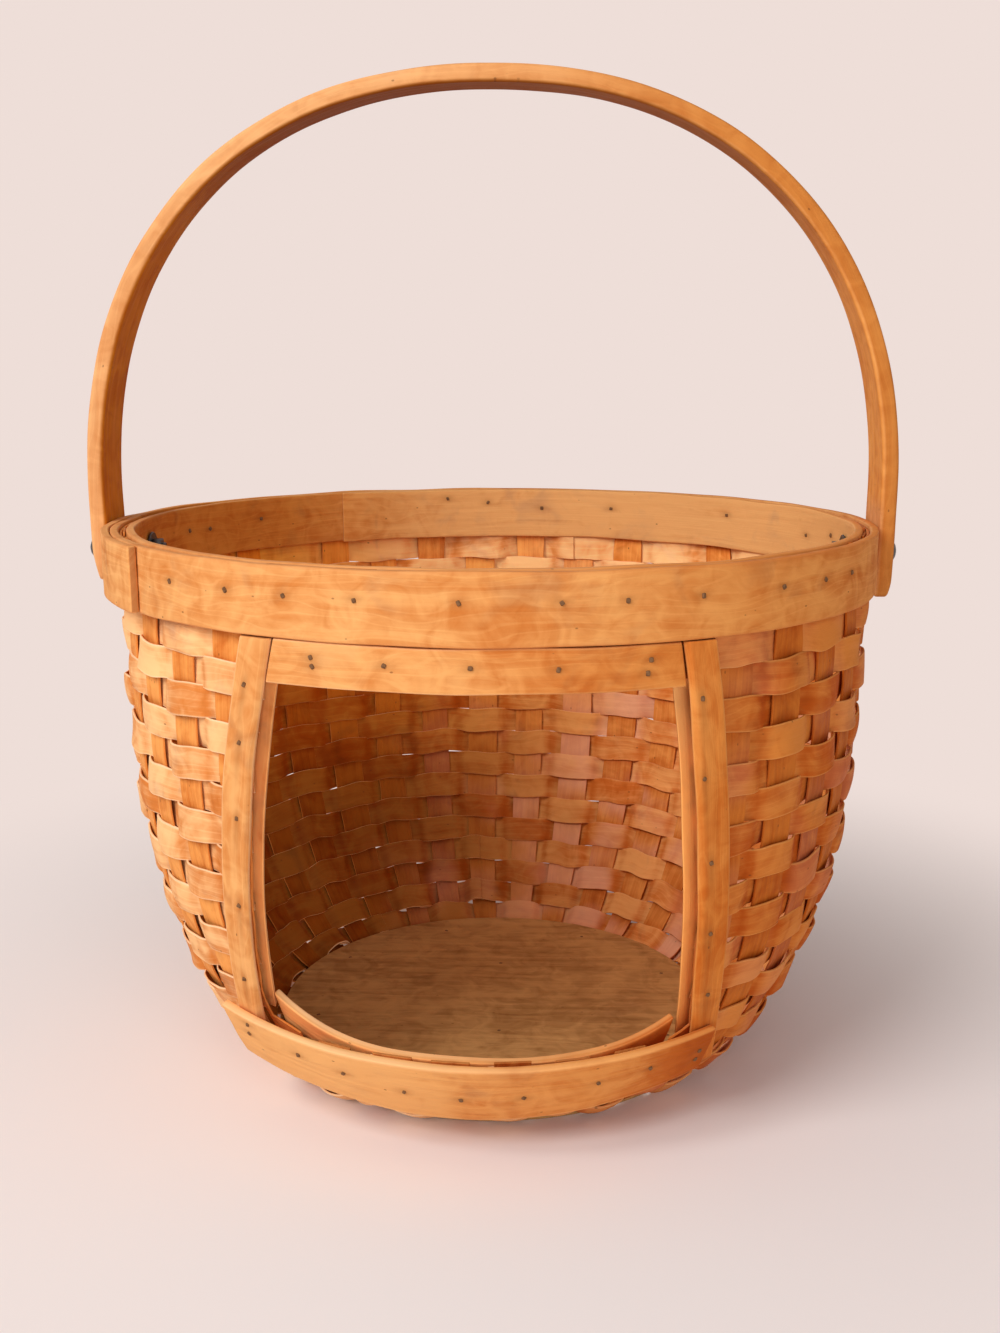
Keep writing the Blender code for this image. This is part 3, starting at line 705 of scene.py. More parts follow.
def eased_between(values, position):
    """The value at a place between stakes, eased from one stake's to the next one's."""
    before = math.floor(position)
    share = ease(position - before)
    count = len(values)
    return values[before % count] * (1.0 - share) + values[(before + 1) % count] * share


class WeaverRun:
    """How one weaver runs round the basket: outside a stake, inside the next."""

    def __init__(self, row, settings):
        self.row = row
        self.settings = settings
        self.rng = random.Random(settings.seed * 100 + row)
        self.draws = {}
        for name, (low, high) in CROSSING_SPREAD.items():
            self.draws[name] = [self.rng.uniform(low, high) for _ in range(STAKE_COUNT)]
        self.width = settings.weaver_width * self.rng.uniform(LEAST_WIDTH, 1.0)
        # Painted light: the two top rows paler
        lit_top_rows = 0.5 if row > ROW_COUNT - 3 else 0.0
        self.row_tone = self.rng.uniform(-0.5, 0.5) - lit_top_rows
        self.slope = WALL_START + (row + 0.5) * ROW_HEIGHT
        self.middle, _ = WALL.at(self.slope)
        self.lap = None
        self.start, self.end = self.ends()
        self.length = (self.end - self.start) * self.middle.x

    def ends(self):
        """First and last bearing. A row that the window doesn't cut laps over its own start."""
        if ROWS_BELOW_WINDOW <= self.row < ROW_COUNT - 1:
            right = post_inner_edge(1, self.middle, WEAVE_HIDDEN)
            return right, 2 * math.pi - post_inner_edge(-1, self.middle, WEAVE_HIDDEN)
        first = self.rng.randrange(*LAP_STAKES)
        self.lap = first + (first + self.row) % 2
        start = (self.lap + 0.5 - LAP_REACH) * PITCH
        return start, start + 2 * math.pi + 2 * LAP_REACH * PITCH

    def bearing_at(self, x):
        return along(x, self.length, self.start, self.end)

    def crossing(self, position):
        """1 outside a stake, -1 inside the next, and a smooth slope between them."""
        before = math.floor(position)
        side = 1.0 if (before + self.row) % 2 == 0 else -1.0
        half_stake = stake_width(self.middle.x, self.settings) / 2
        flat = half_stake / (self.middle.x * PITCH) + FLAT_MARGIN
        return side * (1.0 - 2.0 * ease((position - before - flat) / (1.0 - 2.0 * flat)))

    def bulge(self, position, crossing):
        """How far the splint bows off the stake that it passes."""
        nearest = round(position)
        bow = self.draws["bulge"][nearest % STAKE_COUNT]
        off = position - nearest
        bow *= math.cos(math.pi * 0.8 * off) ** 2
        bow *= 1.0 + self.draws["lean"][nearest % STAKE_COUNT] * math.sin(math.pi * 1.5 * off)
        return bow if crossing > 0 else -INSIDE_BOW * bow

    def lap_shift(self, position, crossing, thickness):
        """Keeps the lapped end outside the start that it covers."""
        if self.lap is None:
            return 0.0
        first = position - self.lap
        last = first - STAKE_COUNT
        layer = thickness + LAP_GAP
        outwards = (1.0 + crossing) * ease((last + 1.5) / 0.6)
        inwards = (1.0 - crossing) * ease((1.5 - first) / 0.6)
        return layer / 2 * (outwards - inwards)

    def wander(self, bearing, position, free):
        """How far the splint strays up or down from its row."""
        around = Vector((math.sin(bearing), math.cos(bearing), 0.0))
        wave = 0.0
        for size, ring, height, climb in ROW_WAVES:
            wave += size * noise.noise(ring * around + Vector((0, 0, height + self.row * climb)))
        inner_rows = ease(min(self.row, ROW_COUNT - 1 - self.row) / 2.5)
        shift = (ROW_WAVE * wave + eased_between(self.draws["shift"], position)) * inner_rows
        zigzag = free * eased_between(self.draws["zigzag"], position)
        return shift + zigzag * math.sin(2 * math.pi * position)

    def place(self, x, y, z, lane):
        bearing = self.bearing_at(x)
        position = bearing / PITCH - 0.5
        crossing = self.crossing(position)
        free = freedom(bearing, self.middle) * self.settings.unevenness
        width = 1.03 + 0.015 * ripple(x * 12, 5.0, self.row)
        width += free * crossing * crossing * (0.025 + eased_between(self.draws["width"], position))
        side = y / (self.width / 2)
        y += SPLINT_WAVER * side * ripple(x * 65, 3.0 * math.copysign(1.0, side), self.row + 0.5)
        offset = self.settings.reach * crossing
        offset += self.lap_shift(position, crossing, self.settings.splint_thickness)
        offset += free * self.bulge(position, crossing)
        offset += free * eased_between(self.draws["tilt"], position) * y
        offset += free * eased_between(self.draws["curl"], position) * side * side * abs(crossing)
        offset += free * SPLINT_WAVER * ripple(x * 45, y * 60, self.row + 20.0)
        shift = self.wander(bearing, position, free)
        point = WALL.beside(self.slope + y * width + shift, offset + z)
        return at(point.x, bearing, point.y)

    def shade(self, x, lane):
        """Painted shade: darker where the splint dips between the stakes."""
        position = self.bearing_at(x) / PITCH - 0.5
        dipping_shade = 1.0 - abs(self.crossing(position))
        tone = 0.9 * eased_between(self.draws["tone"], position) + self.row_tone + 1.1 * dipping_shade
        return tone, eased_between(self.draws["blush"], position)


def stake_width(radius, settings):
    """Stakes are whittled narrower where they crowd together towards the floor."""
    return min(settings.stake_width, STAKE_CROWDING * radius * PITCH)


def stake_reach(index, point, settings):
    """Sideways reach of a stake to both sides. Two of them are trimmed to stay behind the posts."""
    half = stake_width(point.x, settings) / 2
    if index not in POST_STAKES or point.y < SHOULDER_BOTTOM:
        return -half, half
    side = POST_STAKES[index]
    bearing = math.asin(side * math.sin((index + 0.5) * PITCH))
    past = post_inner_edge(side, point, STAKE_TRIM_GAP) - bearing
    inner = min(max(point.x * math.tan(past), -half), half - LEAST_STAKE)
    share = ease((point.y - SHOULDER_BOTTOM) / (SHOULDER_TOP - SHOULDER_BOTTOM))
    inner = -half + (inner + half) * share
    return (inner, half) if side == 1 else (-half, -inner)


def make_woven_row(row, settings):
    run = WeaverRun(row, settings)
    steps = (round((run.end - run.start) / PITCH * STEPS_PER_STAKE), 6)
    board = Board(run.length, run.width, settings.splint_thickness, steps, SPLINT_EDGE, rounds=1)
    board.bend(run.place, run.shade, first_lane=row)
    name = f"row_{row + 1:02d}"
    new_bmesh_piece(f"woven_{name}", board.bm, "weaver_wood", f"weaver_{name}")


def make_stakes(name, indexes, start, ends, settings, nodes):
    """Stakes from a distance up the wall's track to one end for each of them."""
    rng = random.Random(settings.seed + len(indexes))
    draws = {}
    for key, (low, high) in STAKE_SPREAD.items():
        draws[key] = [rng.uniform(low, high) for _ in indexes]
    longest = max(ends) - start
    steps = (round(longest / STAKE_STEP), 4)
    thickness = settings.splint_thickness
    board = Board(longest, settings.stake_width, thickness, steps, SPLINT_EDGE, 1, len(indexes))

    def rows_at(x, lane):
        """How many rows of the weave lie below."""
        return (along(x, longest, start, ends[lane]) - WALL_START) / ROW_HEIGHT

    def place(x, y, z, lane):
        length = along(x, longest, start, ends[lane])
        rows = rows_at(x, lane)
        point, normal = WALL.at(length)
        held = ease(rows) * ease(ROW_COUNT + 0.1 - rows)
        counter = -SPLINT_WAVER * math.cos(math.pi * (rows - 0.5 - indexes[lane])) * held
        offset = counter + z + draws["twist"][lane] * y * held
        left, right = stake_reach(indexes[lane], point, settings)
        point = point + normal * offset
        wavy, drift = 1.0, 0.0
        if indexes[lane] not in POST_STAKES:
            wavy += (draws["width"][lane] - 1.0 + 0.07 * ripple(length * 14, lane, 2.0)) * held
            drift = draws["drift"][lane] * held * math.sin(length * 25 + lane)
        sideways = (left + right) / 2 + y / settings.stake_width * (right - left) * wavy + drift
        bearing = (indexes[lane] + 0.5) * PITCH
        return at(point.x, bearing, point.y) + tangent(bearing) * sideways

    def shade(x, lane):
        """Painted shade: darker where the rows of weavers meet over the stake."""
        share = x / longest + 0.5
        meeting_shade = abs(2.0 * (rows_at(x, lane) % 1.0) - 1.0) ** 3
        tone = draws["tone"][lane] + 0.5 * ripple(share * 9, lane, 4.0) + 0.9 * meeting_shade
        return tone, draws["blush"][lane] + 0.8 * ripple(share * 12, lane, 9.0)

    board.bend(place, shade)
    piece = new_bmesh_piece(name, board.bm, "stake_wood")
    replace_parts(piece, *nodes)


def make_band(name, node, start, lap_length, radius, lap_radius, nails, seed):
    """A flat band bent round the rim, whose last stretch climbs over its own start."""
    inward = lap_radius < radius
    turn = start + 2 * math.pi
    end = turn + lap_length
    length = (end - start) * radius
    middle = (RIM_BOTTOM + RIM_TOP) / 2
    board = strip_board(length, RIM_TOP - RIM_BOTTOM, BAND_THICKNESS, 13, BAND_EDGE)

    def on_rim(x, y, z, lane):
        bearing = along(x, length, start, end)
        climb = (lap_radius - radius) * ease((bearing - turn + LAP_RAMP) / LAP_RAMP)
        return at(radius + climb + z, bearing, middle + y)

    uneven = whittled(on_rim, board, seed, "band")

    def place(x, y, z, lane):
        if not inward:
            return uneven(x, y, z, lane)
        thinned = min((length / 2 - x) / BAND_TIP_LENGTH, 1.0)
        thinned = BAND_TIP_THICKNESS + (1.0 - BAND_TIP_THICKNESS) * thinned
        half = board.size.z / 2
        return uneven(x, y, half - (z + half) * thinned, lane)

    def shade(x, lane):
        bearing = along(x, length, start, end)
        # Painted light: the inner band paler, all but its left side
        painted_inside_light = 1.4 * ease(2.0 * math.sin(bearing) + 1.2) if inward else 0.0
        return 0.5 * ripple(x * 6, 0.0, seed) - painted_inside_light, 0.0

    flat_nails = []
    for degrees, height in nails:
        bearing = math.radians(degrees)
        while bearing < start:
            bearing += 2 * math.pi
        flat_nails.append((x_of(bearing, length, start, end), height - middle))
    return new_strip(name, node, "band_wood", board, place, shade, flat_nails, inward=inward)


def bearing_and_height(node):
    """Where a CAD nail stands."""
    low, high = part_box(node)
    middle = (low + high) / 2
    return math.degrees(math.atan2(middle.x, -middle.y)), middle.z


def make_rim():
    nodes = sorted(name for name in frame["nodes"] if name.startswith("rim_nail_"))
    nails = [bearing_and_height(name) for name in nodes]
    outer = make_band(
        "outer_band", "outer_rim_band", OUTER_START, OUTER_LAP_LENGTH, OUTER_BAND, OUTER_LAP,
        [*nails, *OUTER_LAP_NAILS], seed=11.0,
    )
    inner = make_band(
        "inner_band", "inner_rim_band", INNER_START, INNER_LAP_LENGTH, INNER_BAND, INNER_LAP,
        INNER_BAND_NAILS, seed=23.0,
    )
    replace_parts(nail_heads("rim_nails", outer[: len(nails)]), *nodes)
    nail_heads("lap_nails", outer[len(nails) :])
    nail_heads("inner_band_nails", inner)
    make_filling()


def make_filling():
    """The thin ring between the outer band and the stakes, a little below the rim's top."""
    start, end = FILLER_ENDS
    length = (end - start) * FILLER
    height = RIM_TOP - RIM_BOTTOM - FILLER_SHORTFALL
    middle = RIM_BOTTOM + FILLER_BOTTOM_GAP + height / 2
    board = Board(length, height, FILLER_THICKNESS, FILLER_STEPS, FILLER_EDGE, rounds=1)

    def place(x, y, z, lane):
        top = FILLER_WAVE * max(y / height, 0.0) * ripple(x * 9, 0.0, 31.0)
        return at(FILLER + z, along(x, length, start, end), middle + y + top)

    board.bend(place, lambda x, lane: (0.2, 0.9))
    new_bmesh_piece("rim_filling", board.bm, "stake_wood", "rim_filler")


def make_post(layer, word):
    """An upright of the window, bent along the wall's outline."""
    offset = POST_OFFSET[layer]
    side = SIDES[word]
    low = WALL.length_at(POST_FEET[f"{layer}_{word}"], offset)
    length = WALL.length_at(POST_TOP, offset) - low
    inset = POST_INSETS[layer][side]
    seed = side + offset * 1000
    board = strip_board(length, POST_WIDTH, POST_THICKNESS[layer], 16, POST_EDGE)

    def on_wall(x, y, z, lane):
        if layer == "outer" and z > 0:
            z -= POST_CHAMFER_SLOPE * max(POST_CHAMFER - POST_WIDTH / 2 - side * y, 0.0)
        point = WALL.beside(low + length / 2 + x, offset + FLIP[layer] * z)
        bearing = side * math.asin((post_half_span(side, point.y) - inset) / point.x)
        return at(point.x, bearing, point.y) + tangent(bearing) * y

    def shade(x, lane):
        return POST_TONES[layer][side] + 0.5 * ripple(x * 8, 0.0, seed), 0.0

    nails = []
    for sideways, height in POST_NAILS[word]:
        if layer == "outer" or height > INNER_POST_LEAST_NAIL:
            x = WALL.length_at(height, offset) - low - length / 2
            y = side * (sideways / 1000 - post_half_span(side, height))
            nails.append((x, y if layer == "outer" else y * INNER_POST_NAIL_SPREAD))
    return new_strip(
        f"{layer}_post_{word}", f"{layer}_window_post_{word}", "frame_wood", board,
        whittled(on_wall, board, seed, "post"), shade, nails, trail=POST_STAIN_REACH,
    )


def make_head(layer):
    """The strip across the top of the window. Its ends follow the posts' edges."""
    offset = HEAD_OFFSET[layer]
    middle = (POST_TOP + HEAD_BOTTOM) / 2

    def ends_at(point):
        gaps = {side: -HEAD_GAP - inset for side, inset in POST_INSETS[layer].items()}
        return -post_inner_edge(-1, point, gaps[-1]), post_inner_edge(1, point, gaps[1])

    centre, _ = WALL.at(WALL.length_at(middle))
    centre = Vector((centre.x + offset, centre.y))
    start, end = ends_at(centre)
    length = (end - start) * centre.x
    board = strip_board(length, POST_TOP - HEAD_BOTTOM, HEAD_THICKNESS, 9, POST_EDGE)

    def on_wall(x, y, z, lane):
        point = WALL.beside(WALL.length_at(middle) + y, offset + FLIP[layer] * z)
        return at(point.x, along(x, length, *ends_at(point)), point.y)

    def shade(x, lane):
        return 0.4 * ripple(x * 8, 0.0, offset), 0.0

    nails = []
    for degrees, height in HEAD_NAILS:
        nails.append((x_of(math.radians(degrees), length, start, end), height - middle))
    place = whittled(on_wall, board, offset * 1000 + 3.5, "head")
    node = f"{layer}_window_head"
    return new_strip(f"{layer}_head", node, "frame_wood", board, place, shade, nails)


def make_sill(layer):
    """The strip across the bottom of the window."""
    offset = SILL_OFFSETS[layer]
    start, end = (math.radians(degrees) for degrees in SILL_ENDS[layer])
    edges_at = SILL_EDGES[layer]
    low, high = edges_at(0.0)
    radius = WALL.at(WALL.length_at((low + high) / 2))[0].x + offset
    length = (end - start) * radius
    width = WALL.length_at(high, offset) - WALL.length_at(low, offset)
    board = strip_board(length, width, SILL_THICKNESS, 15, BAND_EDGE)

    def span_at(bearing):
        return tuple(WALL.length_at(height, offset) for height in edges_at(bearing))

    def on_wall(x, y, z, lane):
        bearing = along(x, length, start, end)
        point = WALL.beside(along(y, width, *span_at(bearing)), offset + FLIP[layer] * z)
        return at(point.x, bearing, point.y)

    def shade(x, lane):
        # Painted shade: the sill darker towards its right end. Painted light: the rest paler
        to_right = ease((x / length - 0.25) / 0.25)
        return 4.1 * to_right - 0.8 + 0.5 * ripple(x * 7, 0.0, offset), 0.0

    nails = []
    for degrees, up in SILL_NAILS if layer == "outer" else INNER_SILL_NAILS:
        bearing = math.radians(degrees)
        if layer == "outer":
            bottom, top = span_at(bearing)
            up = (WALL.length_at(up, offset) - bottom) / (top - bottom)
        up = min(max(up, SILL_NAIL_MARGIN), 1.0 - SILL_NAIL_MARGIN)
        nails.append((x_of(bearing, length, start, end), (up - 0.5) * width))
    place = whittled(on_wall, board, offset * 1000, "sill")
    node = f"{layer}_window_sill"
    return new_strip(f"{layer}_sill", node, "frame_wood", board, place, shade, nails)


def make_window():
    for layer in ("outer", "inner"):
        spots = []
        for word in SIDES:
            spots.extend(make_post(layer, word))
        spots.extend(make_head(layer))
        spots.extend(make_sill(layer))
        nail_heads(f"{layer}_window_nails", spots)


def make_disc(name, node):
    """A round floor board with softened edges, exactly where the CAD one is."""
    low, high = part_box(node)
    radius = (high.x - low.x) / 2
    bm = bmesh.new()
    bmesh.ops.create_cone(
        bm,
        cap_ends=True,
        segments=DISC_SEGMENTS,
        radius1=radius,
        radius2=radius,
        depth=high.z - low.z,
        matrix=Matrix.Translation((0, 0, (low.z + high.z) / 2)),
    )
    round_edges(bm, sharp_edges(bm), DISC_EDGE, 3)
    new_bmesh_piece(name, bm, "floor_wood", node)


def make_floor():
    make_disc("floor_inside", "upper_floor_disc")
    make_disc("floor_underside", "lower_floor_disc")
    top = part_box("upper_floor_disc")[1].z
    up = Vector((0, 0, 1))
    spots = [(at(radius, math.radians(degrees), top), up) for degrees, radius in FLOOR_NAILS]
    nail_heads("floor_nails", spots, FLOOR_NAIL_SIDE, FLOOR_NAIL_PROUD)


def make_hoop():
    """The bent handle. Its left leg is pared off outside and its right one is rounded."""
    track = hoop_track()
    steps = (round(track.length / HOOP_STEP), 13)
    board = Board(track.length, HOOP_WIDTH, HOOP_THICKNESS, steps, HOOP_EDGE, rounds=4)
    stand = Matrix.Translation((HOOP_CENTRE_X, 0, PIVOT_HEIGHT)) @ Matrix.Rotation(HOOP_LEAN, 4, "X")

    def on_track(x, y, z, lane):
        length = x + track.length / 2
        to_right, to_left = length, track.length - length
        rounded = nearness(to_right, RIGHT_ROUNDING) ** 2
        y *= 1.0 - 0.16 * rounded - 0.10 * nearness(to_left, LEFT_ROUNDING) ** 2
        if z > 0:
            z *= 1.0 - 0.55 * nearness(to_left, LEFT_PARING) - 0.35 * rounded
        waver = HOOP_WAVER * ripple(length * 9, 0.0, 41.0)
        waver *= ease(min(to_right, to_left) / HOOP_WAVER_RAMP)
        point = track.beside(length, z + waver)
        return stand @ Vector((point.x, y, point.y))

    def shade(x, lane):
        return 0.6 * ripple(x * 5, 0.0, 43.0), 0.0

    place = whittled(on_track, board, 37.0, "hoop")
    new_strip("hoop", "handle_hoop", "hoop_wood", board, place, shade)


def reach_of(word, kind):
    """Nearest and furthest distance of a pivot's CAD part from the basket's middle."""
    low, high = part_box(f"{word}_pivot_{kind}")
    return sorted((SIDES[word] * low.x, SIDES[word] * high.x))


def new_pivot_part(word, kind, bm, distance):
    """Lays a part that was made about Z on the pivot axis, its top outwards."""
    turn = Matrix.Rotation(SIDES[word] * math.pi / 2, 4, "Y")
    stand = Matrix.Translation((SIDES[word] * distance, 0, PIVOT_HEIGHT)) @ turn
    bmesh.ops.transform(bm, matrix=stand, verts=bm.verts)
    bmesh.ops.recalc_face_normals(bm, faces=bm.faces)
    new_bmesh_piece(f"{word}_{kind}", bm, "bolt_steel", f"{word}_pivot_{kind}")


def make_turned_part(word, kind, profile, distance):
    """A turned part of a pivot: a profile of (radius, outwards) from its outer middle."""
    bm = bmesh.new()
    verts = [bm.verts.new((radius, 0, up)) for radius, up in profile]
    edges = [bm.edges.new(pair) for pair in zip(verts, verts[1:])]
    bmesh.ops.spin(
        bm,
        geom=verts + edges,
        cent=(0, 0, 0),
        axis=(0, 0, 1),
        angle=2 * math.pi,
        steps=SPIN_STEPS,
        use_merge=True,
    )
    bmesh.ops.remove_doubles(bm, verts=bm.verts, dist=TINY)
    new_pivot_part(word, kind, bm, distance)


def make_bolt(word):
    """A bolt whose domed head stands as high as the CAD's."""
    end, head_top = reach_of(word, "bolt")
    end -= head_top
    leg = HOOP_HALF_SPAN + HOOP_THICKNESS / 2 + SIDES[word] * HOOP_CENTRE_X
    head = head_top - leg - HEAD_CLEARANCE
    profile = [(0, 0)]
    for share in DOME_SHARES:
        drop = (1.0 - math.sqrt(1.0 - (DOME_CUT * share) ** 2)) * DOME_RISE
        profile.append((HEAD_RADIUS * share, -head * drop))
    profile += [(HEAD_RADIUS - HEAD_CHAMFER, -head), (SHANK_RADIUS, -head)]
    profile += [(SHANK_RADIUS, end + SHANK_CHAMFER), (SHANK_RADIUS - SHANK_CHAMFER, end), (0, end)]
    make_turned_part(word, "bolt", profile, head_top)


def make_washer(word):
    inside, outside = reach_of(word, "washer")
    back = inside - outside
    edge = WASHER_RADIUS - WASHER_CHAMFER
    profile = [(WASHER_BORE, 0), (edge, 0), (WASHER_RADIUS, -WASHER_CHAMFER)]
    profile += [(WASHER_RADIUS, WASHER_CHAMFER + back), (edge, back), (WASHER_BORE, back)]
    make_turned_part(word, "washer", [*profile, profile[0]], outside)


def make_nut(word):
    """A six-sided nut with its corners turned off and the outline of its bore on both sides."""
    inside, outside = reach_of(word, "nut")
    bm = bmesh.new()
    bmesh.ops.create_cone(
        bm, cap_ends=True, segments=6, radius1=NUT_RADIUS, radius2=NUT_RADIUS, depth=outside - inside
    )
    level = [edge for edge in bm.edges if abs(edge.verts[0].co.z - edge.verts[1].co.z) < TINY]
    round_edges(bm, level, NUT_CHAMFER, 2)
    caps = [face for face in bm.faces if abs(face.normal.z) > 0.99]
    for cap in sorted(caps, key=lambda face: face.normal.z):
        bmesh.ops.inset_individual(bm, faces=[cap], thickness=NUT_WALL, depth=0.0)
    new_pivot_part(word, "nut", bm, (inside + outside) / 2)


def make_pivots():
    for word in SIDES:
        make_bolt(word)
        make_washer(word)
        make_nut(word)


def opaque(colour):
    return (*colour, 1.0)


class Wire:
    """A shader socket that takes part in sums: each sum on it adds a Math node."""

    def __init__(self, finish, socket):
        self.finish = finish
        self.socket = socket

    def sum(self, operation, first, second):
        return self.finish.node("Math", {"operation": operation}, {0: first, 1: second})

    def __add__(self, other):
        return self.sum("ADD", self, other)

    def __radd__(self, other):
        return self.sum("ADD", other, self)

    def __sub__(self, other):
        return self.sum("SUBTRACT", self, other)

    def __rsub__(self, other):
        return self.sum("SUBTRACT", other, self)

    def __mul__(self, other):
        return self.sum("MULTIPLY", self, other)

    def __rmul__(self, other):
        return self.sum("MULTIPLY", other, self)


class Finish:
    """The node tree of one material, or of the world."""

    def __init__(self, owner):
        self.owner = owner
        owner.use_nodes = True
        self.tree = owner.node_tree
        self.tree.nodes.clear()

    def node(self, kind, settings=None, sockets=None, output=0):
        """Adds a node: its settings first, then the values or links of its sockets."""
        made = self.tree.nodes.new("ShaderNode" + kind)
        for key, value in (settings or {}).items():
            setattr(made, key, value)
        for key, value in (sockets or {}).items():
            if isinstance(value, Wire):
                self.tree.links.new(value.socket, made.inputs[key])
            else:
                made.inputs[key].default_value = value
        return Wire(self, made.outputs[output]) if made.outputs else made

    def mark(self, name):
        """A mark that the boards carry: edge, end, inside, stain, tone or blush."""
        return self.node("Attribute", {"attribute_name": name}, output=2)

    def part(self, vector, axis):
        return self.node("SeparateXYZ", None, {0: vector}, output=axis)

    def stretched(self, vector, stretch):
        return self.node("VectorMath", {"operation": "MULTIPLY"}, {0: vector, 1: stretch})

    def cloud(self, vector, stretch, detail=2.0, swirl=0.0):
        """Noise about 0, mostly from -1 to 1, on a stretched vector."""
        place = self.stretched(vector, stretch)
        sockets = {"Vector": place, "Scale": 1.0, "Detail": detail, "Distortion": swirl}
        return (self.node("TexNoise", None, sockets) - 0.5) * 3.2

    def between(self, value, low, high):
        """0 below low, 1 above high, smooth between."""
        settings = {"interpolation_type": "SMOOTHSTEP"}
        return self.node("MapRange", settings, {0: value, 1: low, 2: high})

    def mix(self, share, first, second, blend="MIX"):
        """One colour over another. A colour is a socket or (red, green, blue)."""
        pair = [part if isinstance(part, Wire) else opaque(part) for part in (first, second)]
        settings = {"data_type": "RGBA", "blend_type": blend, "clamp_factor": True}
        return self.node("Mix", settings, {0: share, 6: pair[0], 7: pair[1]}, output=2)

    def specks(self, vector, stretch, size, rare):
        """Small round marks, on the few cells whose random value is above rare."""
        sockets = {"Vector": self.stretched(vector, stretch), "Scale": 1.0}
        cells = self.node("TexVoronoi", None, sockets)
        colour = Wire(self, cells.socket.node.outputs["Color"])
        pick = self.node("SeparateColor", None, {0: colour})
        return (1.0 - self.between(cells, size * 0.5, size)) * self.between(pick, rare, rare + 0.01)

    def shader(self, **sockets):
        named = {key.replace("_", " "): value for key, value in sockets.items()}
        return self.node("BsdfPrincipled", None, named)

    def surface(self, **sockets):
        self.node("OutputMaterial", None, {0: self.shader(**sockets)})
        return self.owner

    def seen(self):
        """1 for what the camera sees, itself or in a reflection."""
        names = ("Is Camera Ray", "Is Glossy Ray", "Is Transmission Ray")
        camera, glossy, through = (self.node("LightPath", output=name) for name in names)
        return self.between(camera + glossy + through, 0.0, 1.0)


def even(size):
    return (size, size, size)


# Colours of marks on the wood, and of the painted shade under the handle's top
WHITE = (1.0, 1.0, 1.0)
UNDERSIDE_SHADE = (0.26, 0.08, 0.012)
END = (0.36, 0.13, 0.04)
STAIN = (0.34, 0.10, 0.02)
DOT = (0.14, 0.045, 0.015)
BOLT_RUST = (0.10, 0.045, 0.02)
NAIL_RUST = (0.09, 0.04, 0.018)

# What some places multiply the wood's colour by: dull patches, painted shade low inside and painted
# light at the inside's top. Smudges and painted shade multiply its deep colour
SMUDGE_AND_SHADE = (0.70, 0.52, 0.34)
DULL = (0.66, 0.68, 0.92)
LOW_SHADE = (0.42, 0.38, 0.42)
TOP_LIGHT = (1.25, 1.32, 1.30)

# Heights and sideways places between which the wood changes
SHADE_FREE_HEIGHTS = (0.19, 0.26)
SHADE_FREE_SIDEWAYS = (-0.17, -0.02)
ABOVE_RIM = (0.305, 0.32)
UNDERSIDE_SHADE_HEIGHTS = (0.42, 0.53)
OUTSIDE_TURNS = (-0.10, 0.15)
INSIDE_TURNS = (-0.11, 0.12)
LOW_SHADE_HEIGHTS = (0.06, 0.20)
TOP_LIGHT_HEIGHTS = (0.235, 0.25)
TOP_LIGHT_ENDS = (0.264, 0.27)


